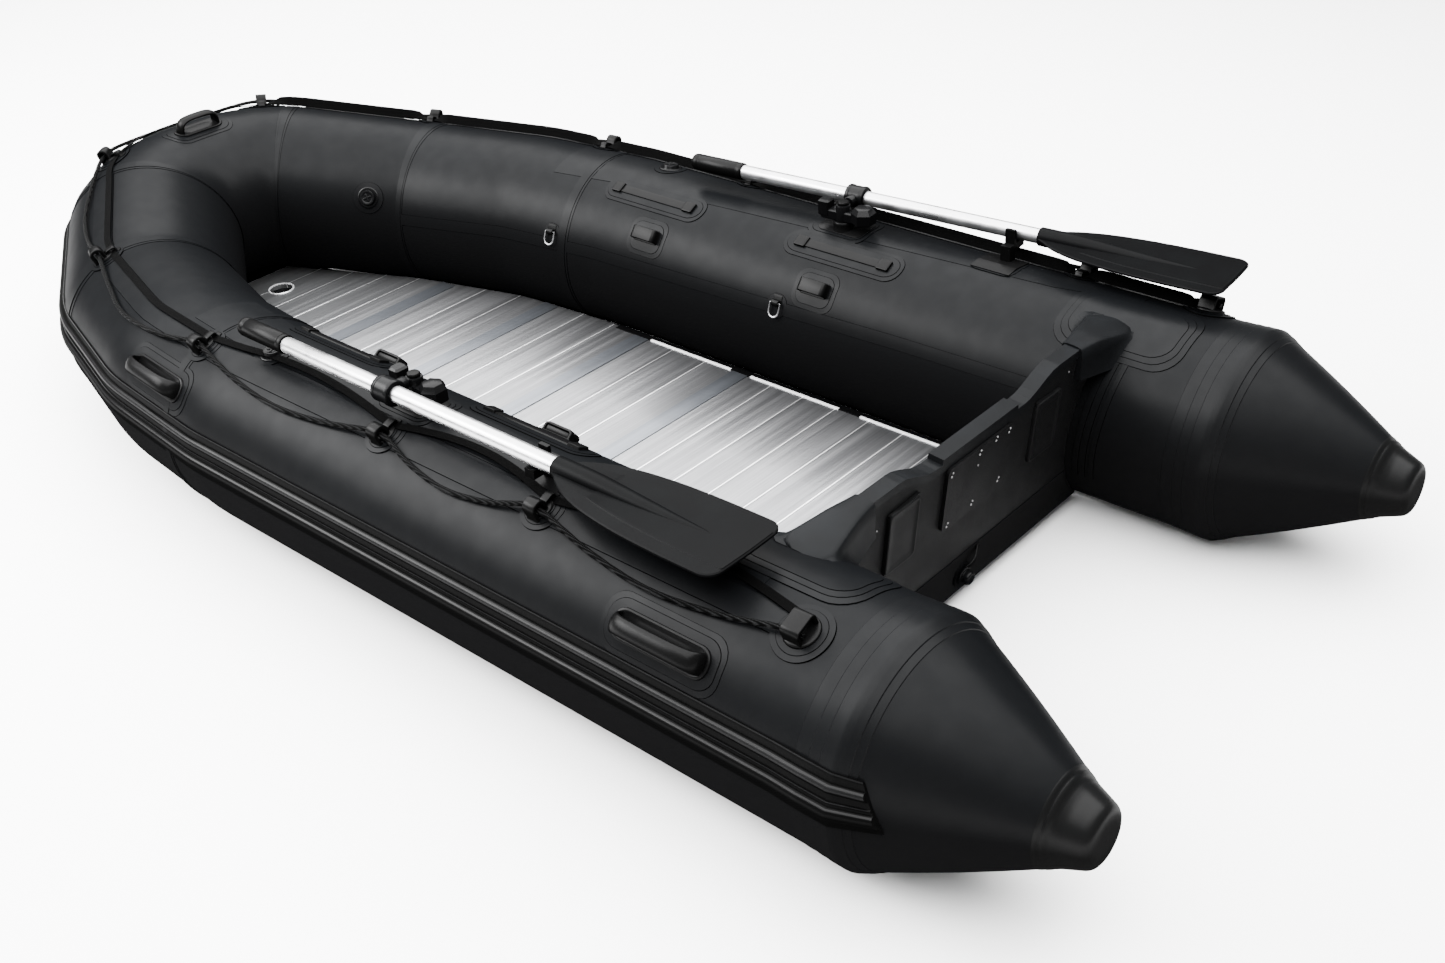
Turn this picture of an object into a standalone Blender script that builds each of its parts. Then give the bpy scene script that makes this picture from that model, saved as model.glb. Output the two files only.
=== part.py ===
# An inflatable boat with a slatted aluminium floor, a transom and two stowed oars.
# Sizes are in metres. +X runs aft, +Y to starboard, +Z up.
# The origin stands on the ground, under the middle of the boat.
import bpy
import bmesh
import math
from mathutils import Matrix, Vector

# Driving sizes of the whole boat
overall_length = 3.50
tube_diameter = 0.46
tube_spacing = 1.20
bow_length = 1.162
bow_rise = 0.065
cone_length = 0.305
cone_cap_length = 0.050
floor_height = 0.066
transom_height = 0.4095
transom_rake = math.radians(6)

# Clearances and counts
seat_gap = 0.0003
slide_gap = 0.0006
cut_overrun = 0.005
weld_distance = 0.00001
nearest_angle = 0.01
tube_sides = 24
half_turn = math.pi
quarter_turn = math.pi / 2
facet_angle = 2 * math.pi / tube_sides
round_sides = 20
rod_sides = 16
disc_sides = 14
bore_sides = 10

# Fabric skins
tube_skin = 0.0015
bottom_skin = 0.0012
keel_skin = 0.0012

# Rub strake
strake_base = 0.003
strake_rib = 0.012
strake_angle_list = [66.5, 71.6, 72.0, 74.2, 74.6, 83.6, 84.0, 86.2, 86.6, 91.5]
strake_is_rib = [0, 0, 1, 1, 0, 0, 1, 1, 0, 0]
strake_end_clear = 0.015

# The tube's centre line in plan: shares of the bow length and of half the tube spacing
bow_along_shares = [1.0, 0.70, 0.37, 0.0]
bow_across_shares = [1.0, 0.947, 0.77, 0.297]
bow_bend_radii = [0.50, 0.50, 0.35, 0.26]
bow_bend_steps = [1, 2, 3, 6]
side_station_spacing = 0.43

# Places worked out from the driving sizes
tube_radius = tube_diameter / 2
half_spacing = tube_spacing / 2
axis_height = tube_radius
stern_x = overall_length / 2
cone_base_x = stern_x - cone_cap_length - cone_length
strake_reach = (tube_radius + seat_gap + strake_rib) * math.sin(math.radians(84.0))
front_x = -overall_length / 2 + strake_reach

collection = bpy.data.collections.new("inflatable_boat")
cutters = bpy.data.collections.new("cutters")


def clear_scene():
    for old in list(bpy.data.objects):
        bpy.data.objects.remove(old, do_unlink=True)
    bpy.context.scene.collection.children.link(collection)
    bpy.context.scene.collection.children.link(cutters)


def finish(name, colour, roughness, metallic):
    """One plain material: its colour, roughness and metallic value."""
    material = bpy.data.materials.new(name)
    material.use_nodes = True
    shader = material.node_tree.nodes["Principled BSDF"]
    shader.inputs["Base Color"].default_value = (*colour, 1)
    shader.inputs["Roughness"].default_value = roughness
    shader.inputs["Metallic"].default_value = metallic
    return material


def add_mesh(name, bm, home=None):
    """Turns a bmesh into an object with outward faces."""
    bmesh.ops.recalc_face_normals(bm, faces=bm.faces)
    mesh = bpy.data.meshes.new(name)
    bm.to_mesh(mesh)
    bm.free()
    thing = bpy.data.objects.new(name, mesh)
    (home or cutters).objects.link(thing)
    return thing


def bake(thing):
    """Replaces an object's mesh by its evaluated one and drops its modifiers."""
    bpy.context.view_layer.update()
    view = thing.evaluated_get(bpy.context.evaluated_depsgraph_get())
    mesh = bpy.data.meshes.new_from_object(view)
    thing.modifiers.clear()
    thing.data = mesh
    return thing


def combine(base, tool, operation):
    """Joins, cuts or keeps common volume with another solid, which is then removed."""
    modifier = base.modifiers.new(operation.lower(), "BOOLEAN")
    modifier.operation = operation
    modifier.solver = "EXACT"
    modifier.object = tool
    bake(base)
    bpy.data.objects.remove(tool, do_unlink=True)
    return base


def part(thing, name, material, smooth_angle=30):
    """Names a finished solid, gives it its material and moves it to the boat's collection."""
    thing.name = name
    thing.data.name = name
    thing.data.materials.clear()
    thing.data.materials.append(material)
    for home in list(thing.users_collection):
        home.objects.unlink(thing)
    collection.objects.link(thing)
    thing.data.shade_smooth()
    thing.data.set_sharp_from_angle(angle=math.radians(smooth_angle))
    return thing


def set_origin(thing, point):
    """Moves an object's origin onto its joint's axis, with the solid left in place."""
    thing.data.transform(Matrix.Translation(-Vector(point)))
    thing.location = Vector(point)


# Solids from primitives and outlines

def box(low, high):
    bm = bmesh.new()
    bmesh.ops.create_cube(bm, size=1)
    low = Vector(low)
    high = Vector(high)
    size = Matrix.Diagonal((*(high - low), 1))
    bmesh.ops.transform(bm, matrix=Matrix.Translation((low + high) / 2) @ size, verts=bm.verts)
    return add_mesh("box", bm)


def rod(start, end, radius, sides=rod_sides, end_radius=None):
    """A closed cylinder or cone from one point to another."""
    start = Vector(start)
    end = Vector(end)
    line = end - start
    bm = bmesh.new()
    bmesh.ops.create_cone(
        bm, cap_ends=True, segments=sides, radius1=radius,
        radius2=radius if end_radius is None else end_radius, depth=line.length)
    turn = line.to_track_quat("Z", "Y").to_matrix().to_4x4()
    bmesh.ops.transform(bm, matrix=Matrix.Translation((start + end) / 2) @ turn, verts=bm.verts)
    return add_mesh("rod", bm)


def turned(profile, sides, frame, hollow=False):
    """A turned solid: profile points (radius, height), top to bottom, about the frame's Z axis."""
    mesh = bpy.data.meshes.new("turned")
    points = [(radius, 0, height) for radius, height in profile]
    edges = [(i, i + 1) for i in range(len(points) - 1)]
    if hollow:
        edges.append((len(points) - 1, 0))
    mesh.from_pydata(points, edges, [])
    thing = bpy.data.objects.new("turned", mesh)
    cutters.objects.link(thing)
    screw = thing.modifiers.new("turn", "SCREW")
    screw.steps = sides
    screw.render_steps = sides
    screw.use_merge_vertices = True
    screw.merge_threshold = weld_distance
    bake(thing)
    bm = bmesh.new()
    bm.from_mesh(thing.data)
    bmesh.ops.transform(bm, matrix=frame, verts=bm.verts)
    bpy.data.objects.remove(thing, do_unlink=True)
    return add_mesh("turned", bm)


def slab(outline, low, high, frame=Matrix.Identity(4)):
    """A flat outline of (x, y) points, extruded from one height to another."""
    curve = bpy.data.curves.new("slab", "CURVE")
    curve.dimensions = "2D"
    curve.fill_mode = "BOTH"
    curve.extrude = (high - low) / 2
    spline = curve.splines.new("POLY")
    spline.points.add(len(outline) - 1)
    for point, (x, y) in zip(spline.points, outline):
        point.co = (x, y, 0, 1)
    spline.use_cyclic_u = True
    thing = bpy.data.objects.new("slab", curve)
    cutters.objects.link(thing)
    bpy.context.view_layer.update()
    mesh = bpy.data.meshes.new_from_object(thing.evaluated_get(bpy.context.evaluated_depsgraph_get()))
    bpy.data.objects.remove(thing, do_unlink=True)
    bm = bmesh.new()
    bm.from_mesh(mesh)
    bmesh.ops.remove_doubles(bm, verts=bm.verts, dist=weld_distance)
    lift = Matrix.Translation((0, 0, (high + low) / 2))
    bmesh.ops.transform(bm, matrix=frame @ lift, verts=bm.verts)
    return add_mesh("slab", bm)


def loft(rings, close_ends=True, flip_from=None):
    """A skin over rings of equal point counts. Past flip_from its triangles lean the other way."""
    bm = bmesh.new()
    rows = [[bm.verts.new(point) for point in ring] for ring in rings]
    for number, (row, after) in enumerate(zip(rows, rows[1:])):
        for i in range(len(row)):
            j = (i + 1) % len(row)
            corners = (row[i], row[j], after[j], after[i])
            if flip_from is None:
                bm.faces.new(corners)
                continue
            if number >= flip_from:
                corners = corners[1:] + corners[:1]
            bm.faces.new(corners[:3])
            bm.faces.new((corners[2], corners[3], corners[0]))
    if close_ends:
        bm.faces.new(rows[-1])
        bm.faces.new(list(reversed(rows[0])))
    return add_mesh("loft", bm)


def thicken(thing, thickness):
    """Gives an open skin its thickness, on the side its faces turn away from."""
    solidify = thing.modifiers.new("skin", "SOLIDIFY")
    solidify.thickness = thickness
    solidify.offset = -1
    solidify.use_even_offset = True
    return bake(thing)


def rounded(half_x, half_y, radius, steps=4):
    """A rectangle's outline with round corners."""
    points = []
    for corner, (sx, sy) in enumerate([(1, 1), (-1, 1), (-1, -1), (1, -1)]):
        for i in range(steps + 1):
            angle = quarter_turn * (corner + i / steps)
            x = sx * (half_x - radius) + radius * math.cos(angle)
            y = sy * (half_y - radius) + radius * math.sin(angle)
            points.append((x, y))
    return points


# The hull's centre line: stations from the bow's middle to the cone, on the starboard side

def side_stations():
    corners = [Vector((front_x + bow_length * along, half_spacing * across, axis_height))
               for along, across in zip(bow_along_shares, bow_across_shares)]
    corners[-1].z = axis_height + bow_rise
    start = Vector((cone_base_x, half_spacing, axis_height))
    end = Vector((front_x, 0, axis_height + bow_rise))
    line = [start] + corners + [end]
    points = [start]
    straight = start.x - corners[0].x
    runs = round(straight / side_station_spacing)
    for i in range(1, runs):
        points.append(start.lerp(corners[0], i / runs))
    for i, radius in enumerate(bow_bend_radii):
        before = (line[i] - line[i + 1]).normalized()
        after = (line[i + 2] - line[i + 1]).normalized()
        if i + 2 == len(line) - 1:
            after = Vector((0, -1, 0))
        corner_angle = before.angle(after)
        run = radius / math.tan(corner_angle / 2)
        middle = line[i + 1] + (before + after).normalized() * radius / math.sin(corner_angle / 2)
        first = line[i + 1] + before * run - middle
        last = line[i + 1] + after * run - middle
        for k in range(bow_bend_steps[i] + 1):
            share = k / bow_bend_steps[i]
            points.append(middle + first.slerp(last, share) * radius)
    points.append(end)
    return list(reversed(points))


half_line = side_stations()
mirrored_line = [Vector((p.x, -p.y, p.z)) for p in half_line]
hull_line = list(reversed(mirrored_line[1:])) + half_line
bow_index = len(half_line) - 1
chamber_step = 1 + bow_bend_steps[3] + 1 + bow_bend_steps[2]


def station_frame(index):
    """Centre, and the along, outboard and up directions, at one station of the hull line."""
    before = hull_line[max(index - 1, 0)]
    after = hull_line[min(index + 1, len(hull_line) - 1)]
    here = hull_line[index]
    runs = [run.normalized() for run in (here - before, after - here) if run.length > 0]
    along = sum(runs, Vector()).normalized()
    out = Vector((0, 0, 1)).cross(along).normalized()
    mitre = 1 / along.dot(runs[0])
    return here, along, out * mitre, along.cross(out)


def ring_point(frame, angle, lift):
    """A point on the faceted tube at an angle from its top, outboard positive."""
    centre, along, out, up = frame
    lower = math.floor(angle / facet_angle)
    share = angle / facet_angle - lower
    corners = []
    for step in (lower, lower + 1):
        turn = step * facet_angle
        corners.append(out * math.sin(turn) + up * math.cos(turn))
    return centre + corners[0].lerp(corners[1], share) * (tube_radius + lift)


def hull_point_at(x, side):
    """Where the hull line passes a place along the boat: (segment index, share of it)."""
    count = len(hull_line)
    order = range(bow_index, count - 1) if side > 0 else range(bow_index - 1, -1, -1)
    for i in order:
        low = min(hull_line[i].x, hull_line[i + 1].x)
        high = max(hull_line[i].x, hull_line[i + 1].x)
        if low <= x <= high and high > low:
            return i, (x - hull_line[i].x) / (hull_line[i + 1].x - hull_line[i].x)
    return (count - 2, 1.0) if side > 0 else (0, 0.0)


def between(index, share):
    """A frame on one straight run of the hull line."""
    first = hull_line[index]
    second = hull_line[index + 1]
    along = (second - first).normalized()
    out = Vector((0, 0, 1)).cross(along).normalized()
    return first.lerp(second, share), along, out, along.cross(out)


def seat_frame(x, side, facet_step):
    """A matrix on the flat of one facet: X along the hull line, Y outboard, Z off the tube."""
    return facet_frame(*hull_point_at(x, side), facet_step)


def facet_frame(index, share, facet_step):
    centre, along, out, up = between(index, share)
    angle = (facet_step + 0.5) * facet_angle
    normal = out * math.sin(angle) + up * math.cos(angle)
    across = out * math.cos(angle) - up * math.sin(angle)
    place = centre + normal * tube_radius * math.cos(facet_angle / 2)
    frame = Matrix((along, across, normal)).transposed().to_4x4()
    return Matrix.Translation(place) @ frame


def run_frames(start, end):
    """Frames from one place on the hull line to another, with the stations between."""
    frames = [between(*start)]
    frames += [station_frame(i) for i in range(start[0] + 1, end[0] + 1)]
    frames.append(between(*end))
    return frames


def hull_strip(start, end, angles, lift, heights):
    """A strip laid on the tube between two places: angles in degrees, with a height at each."""
    frames = run_frames(start, end)
    step = math.degrees(facet_angle)
    corners = [k * step for k in range(math.ceil(angles[0] / step), math.floor(angles[-1] / step) + 1)]
    corners = [corner for corner in corners if min(abs(corner - angle) for angle in angles) > nearest_angle]
    over = sorted(list(zip(angles, heights)) + [(corner, height_at(corner, angles, heights))
                                                for corner in corners])
    under = [angles[-1]] + list(reversed(corners)) + [angles[0]]
    rings = []
    for frame in frames:
        centre, along, out, up = frame
        ring = []
        for angle, height in over:
            turn = math.radians(angle)
            radial = out * math.sin(turn) + up * math.cos(turn)
            ring.append(ring_point(frame, turn, lift) + radial * height)
        ring += [ring_point(frame, math.radians(angle), lift) for angle in under]
        rings.append(ring)
    return loft(rings)


def height_at(angle, angles, heights):
    for (low, start), (high, end) in zip(zip(angles, heights), zip(angles[1:], heights[1:])):
        if low <= angle <= high:
            return start + (end - start) * (angle - low) / (high - low)
    return heights[-1]


def patch(x_start, x_end, side, angles, thickness, lift=seat_gap):
    """A flat patch on a side tube, with points at the facet corners it covers."""
    start = hull_point_at(x_end if side < 0 else x_start, side)
    end = hull_point_at(x_start if side < 0 else x_end, side)
    return hull_strip(start, end, angles, lift, [thickness] * len(angles))


def tube_rings(first, last, lift=0):
    rings = []
    for index in range(first, last + 1):
        frame = station_frame(index)
        rings.append([ring_point(frame, k * facet_angle, lift) for k in range(tube_sides)])
    return rings


def side_tube_cutter(side, lift=seat_gap):
    """The side tube's outer shape with a gap added, to seat what stands on it."""
    ends = [front_x + bow_length, cone_base_x + cut_overrun]
    rings = []
    for x in ends:
        ring = []
        for k in range(tube_sides):
            turn = k * facet_angle
            ring.append((x, side * (half_spacing + (tube_radius + lift) * math.sin(turn)),
                         axis_height + (tube_radius + lift) * math.cos(turn)))
        rings.append(ring)
    return loft(rings)


# Finishes

charcoal = finish("charcoal_fabric", (0.045, 0.048, 0.052), 0.42, 0.0)
charcoal_trim = finish("charcoal_trim", (0.030, 0.032, 0.036), 0.45, 0.0)
black_rubber = finish("black_rubber", (0.015, 0.015, 0.017), 0.55, 0.0)
black_plastic = finish("black_plastic", (0.018, 0.018, 0.020), 0.40, 0.0)
transom_finish = finish("transom_board", (0.040, 0.043, 0.048), 0.50, 0.0)
trim_finish = finish("transom_trim", (0.075, 0.085, 0.100), 0.45, 0.0)
brushed_aluminium = finish("brushed_aluminium", (0.80, 0.81, 0.82), 0.35, 1.0)
polished_aluminium = finish("polished_aluminium", (0.90, 0.90, 0.91), 0.18, 1.0)
steel = finish("bright_steel", (0.85, 0.85, 0.86), 0.12, 1.0)
rope_finish = finish("black_rope", (0.020, 0.020, 0.022), 0.80, 0.0)


# Air valves, one turned profile for all four
valve_body_radius = 0.0160
valve_flange_radius = 0.0270
valve_flange = 0.0030
valve_cap_radius = 0.0200
valve_cap_height = 0.0110
valve_depth = 0.0300
valve_hole_radius = 0.0170
valve_hole_sides = 16
valve_cap_top_share = 0.8
valve_cap_edge_share = 0.75
side_valve_x = -0.260
side_valve_facet = 0
bow_valve_x = -1.180
bow_valve_facet = -5
bow_valve_side = 1


def air_valve(name, frame):
    """Body, flange and cap, on the Z axis of its frame, seated at height zero."""
    profile = [(0, valve_cap_height), (valve_cap_radius * valve_cap_top_share, valve_cap_height),
               (valve_cap_radius, valve_cap_height * valve_cap_edge_share), (valve_cap_radius, valve_flange),
               (valve_flange_radius, valve_flange), (valve_flange_radius, slide_gap),
               (valve_body_radius, slide_gap), (valve_body_radius, -valve_depth), (0, -valve_depth)]
    return part(turned(profile, valve_hole_sides, frame), name, black_plastic)


def valve_hole(frame, depth=valve_depth):
    low = frame @ Vector((0, 0, -depth - cut_overrun))
    high = frame @ Vector((0, 0, cut_overrun))
    return rod(low, high, valve_hole_radius, valve_hole_sides)


# Hull: three air chambers, two stern cones and their moulded ends
cone_tip_radius = 0.0705
cone_swell = 0.004
cone_seam_gap = 0.0010
cap_lip_radius = 0.0790
cap_lip_length = 0.0080
cap_neck_radius = 0.0720
cap_neck_length = 0.0120
cap_end_radius = 0.0540
cap_round = 0.0060


def make_hull():
    bow_first = bow_index - chamber_step
    bow_last = bow_index + chamber_step
    bow = thicken(loft(tube_rings(bow_first, bow_last), flip_from=chamber_step), tube_skin)
    place = facet_frame(*hull_point_at(bow_valve_x, bow_valve_side), bow_valve_facet)
    combine(bow, valve_hole(place), "DIFFERENCE")
    part(bow, "bow_tube", charcoal)
    air_valve("bow_valve", place)
    for side, word in ((-1, "port"), (1, "starboard")):
        if side < 0:
            rings = tube_rings(0, bow_first)
        else:
            rings = tube_rings(bow_last, len(hull_line) - 1)
        end = -1 if side < 0 else 0
        index = bow_first if side < 0 else bow_last
        step = station_frame(index)[1] * seat_gap * side
        rings[end] = [point + step for point in rings[end]]
        flip_from = len(rings) if side < 0 else 0
        tube = thicken(loft(rings, close_ends=False, flip_from=flip_from), tube_skin)
        place = seat_frame(side_valve_x, side, side_valve_facet)
        combine(tube, valve_hole(place), "DIFFERENCE")
        part(tube, word + "_tube", charcoal)
        air_valve(word + "_valve", place)
        make_cone(side, word)


def circle_ring(x, y, radius, sides=tube_sides):
    return [(x, y + radius * math.sin(k * 2 * math.pi / sides),
             axis_height + radius * math.cos(k * 2 * math.pi / sides)) for k in range(sides)]


def make_cone(side, word):
    y = side * half_spacing
    cap_x = stern_x - cone_cap_length
    middle_radius = (tube_radius + cone_tip_radius) / 2 + cone_swell
    rings = [circle_ring(cone_base_x + cone_seam_gap, y, tube_radius),
             circle_ring((cone_base_x + cap_x) / 2, y, middle_radius),
             circle_ring(cap_x, y, cone_tip_radius)]
    part(thicken(loft(rings, close_ends=False), tube_skin), word + "_stern_cone", charcoal)
    base = seat_gap
    profile = [(0, cone_cap_length), (cap_end_radius - cap_round, cone_cap_length),
               (cap_end_radius, cone_cap_length - cap_round), (cap_neck_radius, cap_neck_length),
               (cap_lip_radius, cap_lip_length), (cap_lip_radius, base), (0, base)]
    frame = Matrix.Translation((cap_x, y, axis_height)) @ Matrix.Rotation(quarter_turn, 4, "Y")
    part(turned(profile, tube_sides, frame), word + "_cone_cap", black_rubber)


def make_rub_strake():
    start = hull_point_at(cone_base_x - strake_end_clear, -1)
    end = hull_point_at(cone_base_x - strake_end_clear, 1)
    heights = [strake_rib if rib else strake_base for rib in strake_is_rib]
    strake = hull_strip(start, end, strake_angle_list, seat_gap, heights)
    part(strake, "rub_strake", black_rubber)


# Transom frame: its origin is at the foot of the board, in the middle of its thickness
board_thickness = 0.028
board_foot = floor_height - 0.0155
transom_aft_x = 1.1203
transom_aft_height = 0.434
middle_half = 0.150
middle_drop = 0.0350
shoulder_inset = 0.100
shoulder_gap = 0.018
board_top_inset = 0.100
board_top_drop = 0.060
board_foot_inset = 0.130
shoulder_half = half_spacing - tube_radius - shoulder_inset
shoulder_end = half_spacing - tube_radius - shoulder_gap
board_top_half = half_spacing - board_top_inset
board_foot_half = half_spacing - board_foot_inset
panel_thickness = 0.006
panel_low_drop = 0.1945
panel_high_drop = 0.0575
panel_low = transom_height - panel_low_drop
panel_high = transom_height - panel_high_drop
panel_inner = 0.200
panel_outer = 0.292


def transom_matrix():
    """Local X points aft, Y to starboard, Z up the raked board from its foot."""
    rise = (transom_aft_height - board_foot) / math.cos(transom_rake)
    aft = Vector((transom_aft_x, 0, transom_aft_height))
    up = Vector((math.sin(transom_rake), 0, math.cos(transom_rake)))
    face = Vector((math.cos(transom_rake), 0, -math.sin(transom_rake)))
    origin = aft - up * rise - face * (board_thickness / 2)
    return Matrix.Translation(origin) @ Matrix.Rotation(transom_rake, 4, "Y")


transom = transom_matrix()
# Turns a flat outline's (x, y) into the board's (Y, Z), with its thickness along X
stand_up = Matrix(((0, 0, 1, 0), (1, 0, 0, 0), (0, 1, 0, 0), (0, 0, 0, 1)))


def top_edge():
    """The board's top edge from the middle to the shoulder: a drop joined by an S curve."""
    points = [(0, transom_height - middle_drop), (middle_half, transom_height - middle_drop)]
    steps = 6
    for i in range(1, steps + 1):
        share = i / steps
        lift = (1 - math.cos(math.pi * share)) / 2
        y = middle_half + (shoulder_half - middle_half) * share
        points.append((y, transom_height - middle_drop * (1 - lift)))
    points.append((shoulder_end, transom_height))
    return points


def board_outline():
    half = top_edge() + [(board_top_half, transom_height - board_top_drop), (board_foot_half, 0)]
    return half + [(-y, z) for y, z in reversed(half) if y > 0]


def seated(thing):
    """Cuts away what reaches into the side tubes."""
    for side in (-1, 1):
        combine(thing, side_tube_cutter(side), "DIFFERENCE")
    return thing


# Pieces of the transom
trim_wall = 0.003
trim_top = 0.005
trim_lip = 0.014
trim_middle_top = 0.016
trim_middle_half = 0.127
trim_step = 0.002
plate_half = 0.110
plate_low_drop = 0.1995
plate_low = transom_height - plate_low_drop
plate_thickness = 0.008
plate_corner = 0.012
bracket_overhang = 0.008
bracket_outer_inset = 0.070
bracket_inner = half_spacing - tube_radius - bracket_overhang
bracket_outer = half_spacing - bracket_outer_inset
bracket_inner_half = 0.026
bracket_outer_half = 0.052
bracket_depth = 0.070
bracket_rise = 0.009
drain_height = 0.040
drain_bore = 0.0120
drain_body = 0.0200
drain_flange_radius = 0.0290
drain_flange = 0.0045
plug_disc_radius = 0.0210
plug_disc = 0.0070
plug_knob_radius = 0.0115
plug_knob = 0.0130
plug_stem = 0.0200


def make_transom():
    board = slab(board_outline(), -board_thickness / 2, board_thickness / 2, transom @ stand_up)
    seated(board)
    face = board_thickness / 2
    for side in (-1, 1):
        panel = [(side * panel_inner, panel_low), (side * panel_outer, panel_low),
                 (side * panel_outer, panel_high), (side * panel_inner, panel_high + panel_thickness)]
        combine(board, slab(panel, face - trim_wall, face + panel_thickness, transom @ stand_up), "UNION")
    combine(board, drain_hole(), "DIFFERENCE")
    make_trim()
    plate_high = transom_height - middle_drop - trim_lip - slide_gap
    middle = (plate_low + plate_high) / 2
    outline = [(y, z + middle) for y, z in rounded(plate_half, plate_high - middle, plate_corner)]
    plate = slab(outline, face + seat_gap, face + seat_gap + plate_thickness, transom @ stand_up)
    part(plate, "motor_plate", black_plastic)
    for side, word in ((-1, "port"), (1, "starboard")):
        part(make_bracket(side), word + "_transom_bracket", trim_finish)
    part(board, "transom_board", transom_finish)
    make_drain()


def make_trim():
    outer = board_thickness / 2 + seat_gap + trim_wall
    inner = board_thickness / 2 + seat_gap
    half = []
    for y, z in top_edge():
        half.append((y, z, trim_top))
        if y == 0:
            half[-1] = (y, z, trim_middle_top)
            half.append((trim_middle_half, z, trim_middle_top))
            half.append((trim_middle_half + trim_step, z, trim_top))
    line = [(-y, z, top) for y, z, top in reversed(half[1:])] + half
    rings = []
    for y, z, top in line:
        section = [(-outer, z - trim_lip), (-outer, z + seat_gap + top), (outer, z + seat_gap + top),
                   (outer, z - trim_lip), (inner, z - trim_lip), (inner, z + seat_gap),
                   (-inner, z + seat_gap), (-inner, z - trim_lip)]
        rings.append([transom @ Vector((x, y, height)) for x, height in section])
    part(loft(rings), "transom_trim", trim_finish)


def make_bracket(side):
    """A wedge over the board's sloping corner, spreading onto the side tube."""
    rings = []
    top = transom_height + bracket_rise
    for y, half, high, low in (
            (bracket_inner, bracket_inner_half, top, top - bracket_depth),
            ((bracket_inner + bracket_outer) / 2, (bracket_inner_half + bracket_outer_half) / 2,
             top, top - bracket_depth),
            (bracket_outer, bracket_outer_half, top - bracket_rise, top - bracket_depth)):
        ring = [(-half, low), (half, low), (half, high - bracket_rise), (half / 2, high),
                (-half / 2, high), (-half, high - bracket_rise)]
        rings.append([transom @ Vector((x, side * y, z)) for x, z in ring])
    wedge = loft(rings)
    combine(wedge, side_tube_cutter(side), "DIFFERENCE")
    outline = [(y * side, z + seat_gap) for y, z in top_edge()[-1:] + [
        (board_top_half, transom_height - board_top_drop), (board_top_half, 0), (shoulder_half, 0)]]
    outline.insert(0, (side * shoulder_half, transom_height + seat_gap))
    half = board_thickness / 2 + seat_gap
    combine(wedge, slab(outline, -half, half, transom @ stand_up), "DIFFERENCE")
    return wedge


def drain_frame():
    return transom @ Matrix.Translation((0, 0, drain_height)) @ Matrix.Rotation(quarter_turn, 4, "Y")


def drain_hole():
    frame = drain_frame()
    reach = board_thickness
    return rod(frame @ Vector((0, 0, -reach)), frame @ Vector((0, 0, reach)), drain_body + slide_gap)


def make_drain():
    inside = -board_thickness / 2 - seat_gap
    outside = board_thickness / 2 + seat_gap + bottom_skin + seat_gap
    profile = [(drain_flange_radius, outside + drain_flange), (drain_flange_radius, outside),
               (drain_body, outside), (drain_body, inside - drain_flange),
               (drain_bore, inside - drain_flange), (drain_bore, outside + drain_flange)]
    part(turned(profile, round_sides, drain_frame(), hollow=True), "drain_valve", black_rubber)
    base = outside + drain_flange + seat_gap
    profile = [(0, base + plug_disc + plug_knob), (plug_knob_radius, base + plug_disc + plug_knob),
               (plug_knob_radius, base + plug_disc), (plug_disc_radius, base + plug_disc),
               (plug_disc_radius, base), (drain_bore - slide_gap, base),
               (drain_bore - slide_gap, base - plug_stem), (0, base - plug_stem)]
    plug = part(turned(profile, round_sides, drain_frame()), "drain_plug", black_plastic)
    set_origin(plug, drain_frame() @ Vector((0, 0, base)))


# Hull bottom and keel, under the floor
skin_drop = 0.0011
skin_top = board_foot - skin_drop
skin_side_clear = 0.0040
skin_row_spacing = 0.080
flap_height_list = [0.030, 0.062, 0.095]
keel_half_width = 0.075
keel_start_x = -1.400
keel_nose = 0.040
keel_end_gap = 0.030
keel_nose_shares = [0.35, 0.75, 1.0]
keel_valve_x = -1.285
keel_valve_y = 0.030
skin_valve_hole = 0.0285
board_valve_hole = 0.0330
board_hole_sides = 24


def sheet(rows):
    """An open skin over rows that run from port to starboard, front row first, facing up."""
    bm = bmesh.new()
    grid = [[bm.verts.new(point) for point in row] for row in rows]
    for row, after in zip(grid, grid[1:]):
        for i in range(len(row) - 1):
            bm.faces.new((row[i], after[i], after[i + 1], row[i + 1]))
    mesh = bpy.data.meshes.new("sheet")
    bm.to_mesh(mesh)
    bm.free()
    thing = bpy.data.objects.new("sheet", mesh)
    cutters.objects.link(thing)
    return thing


def across_row(point):
    return [(point[0], -point[1], point[2]), (point[0], 0, point[2]), tuple(point)]


def inner_tube_point(frame, height, clear):
    """Where a tube's inner side passes a height, moved inboard by a clearance."""
    share = min(1.0, (frame[0].z - height) / tube_radius)
    point = ring_point(frame, -math.acos(-share), 0)
    return point - frame[2] * clear


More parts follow.
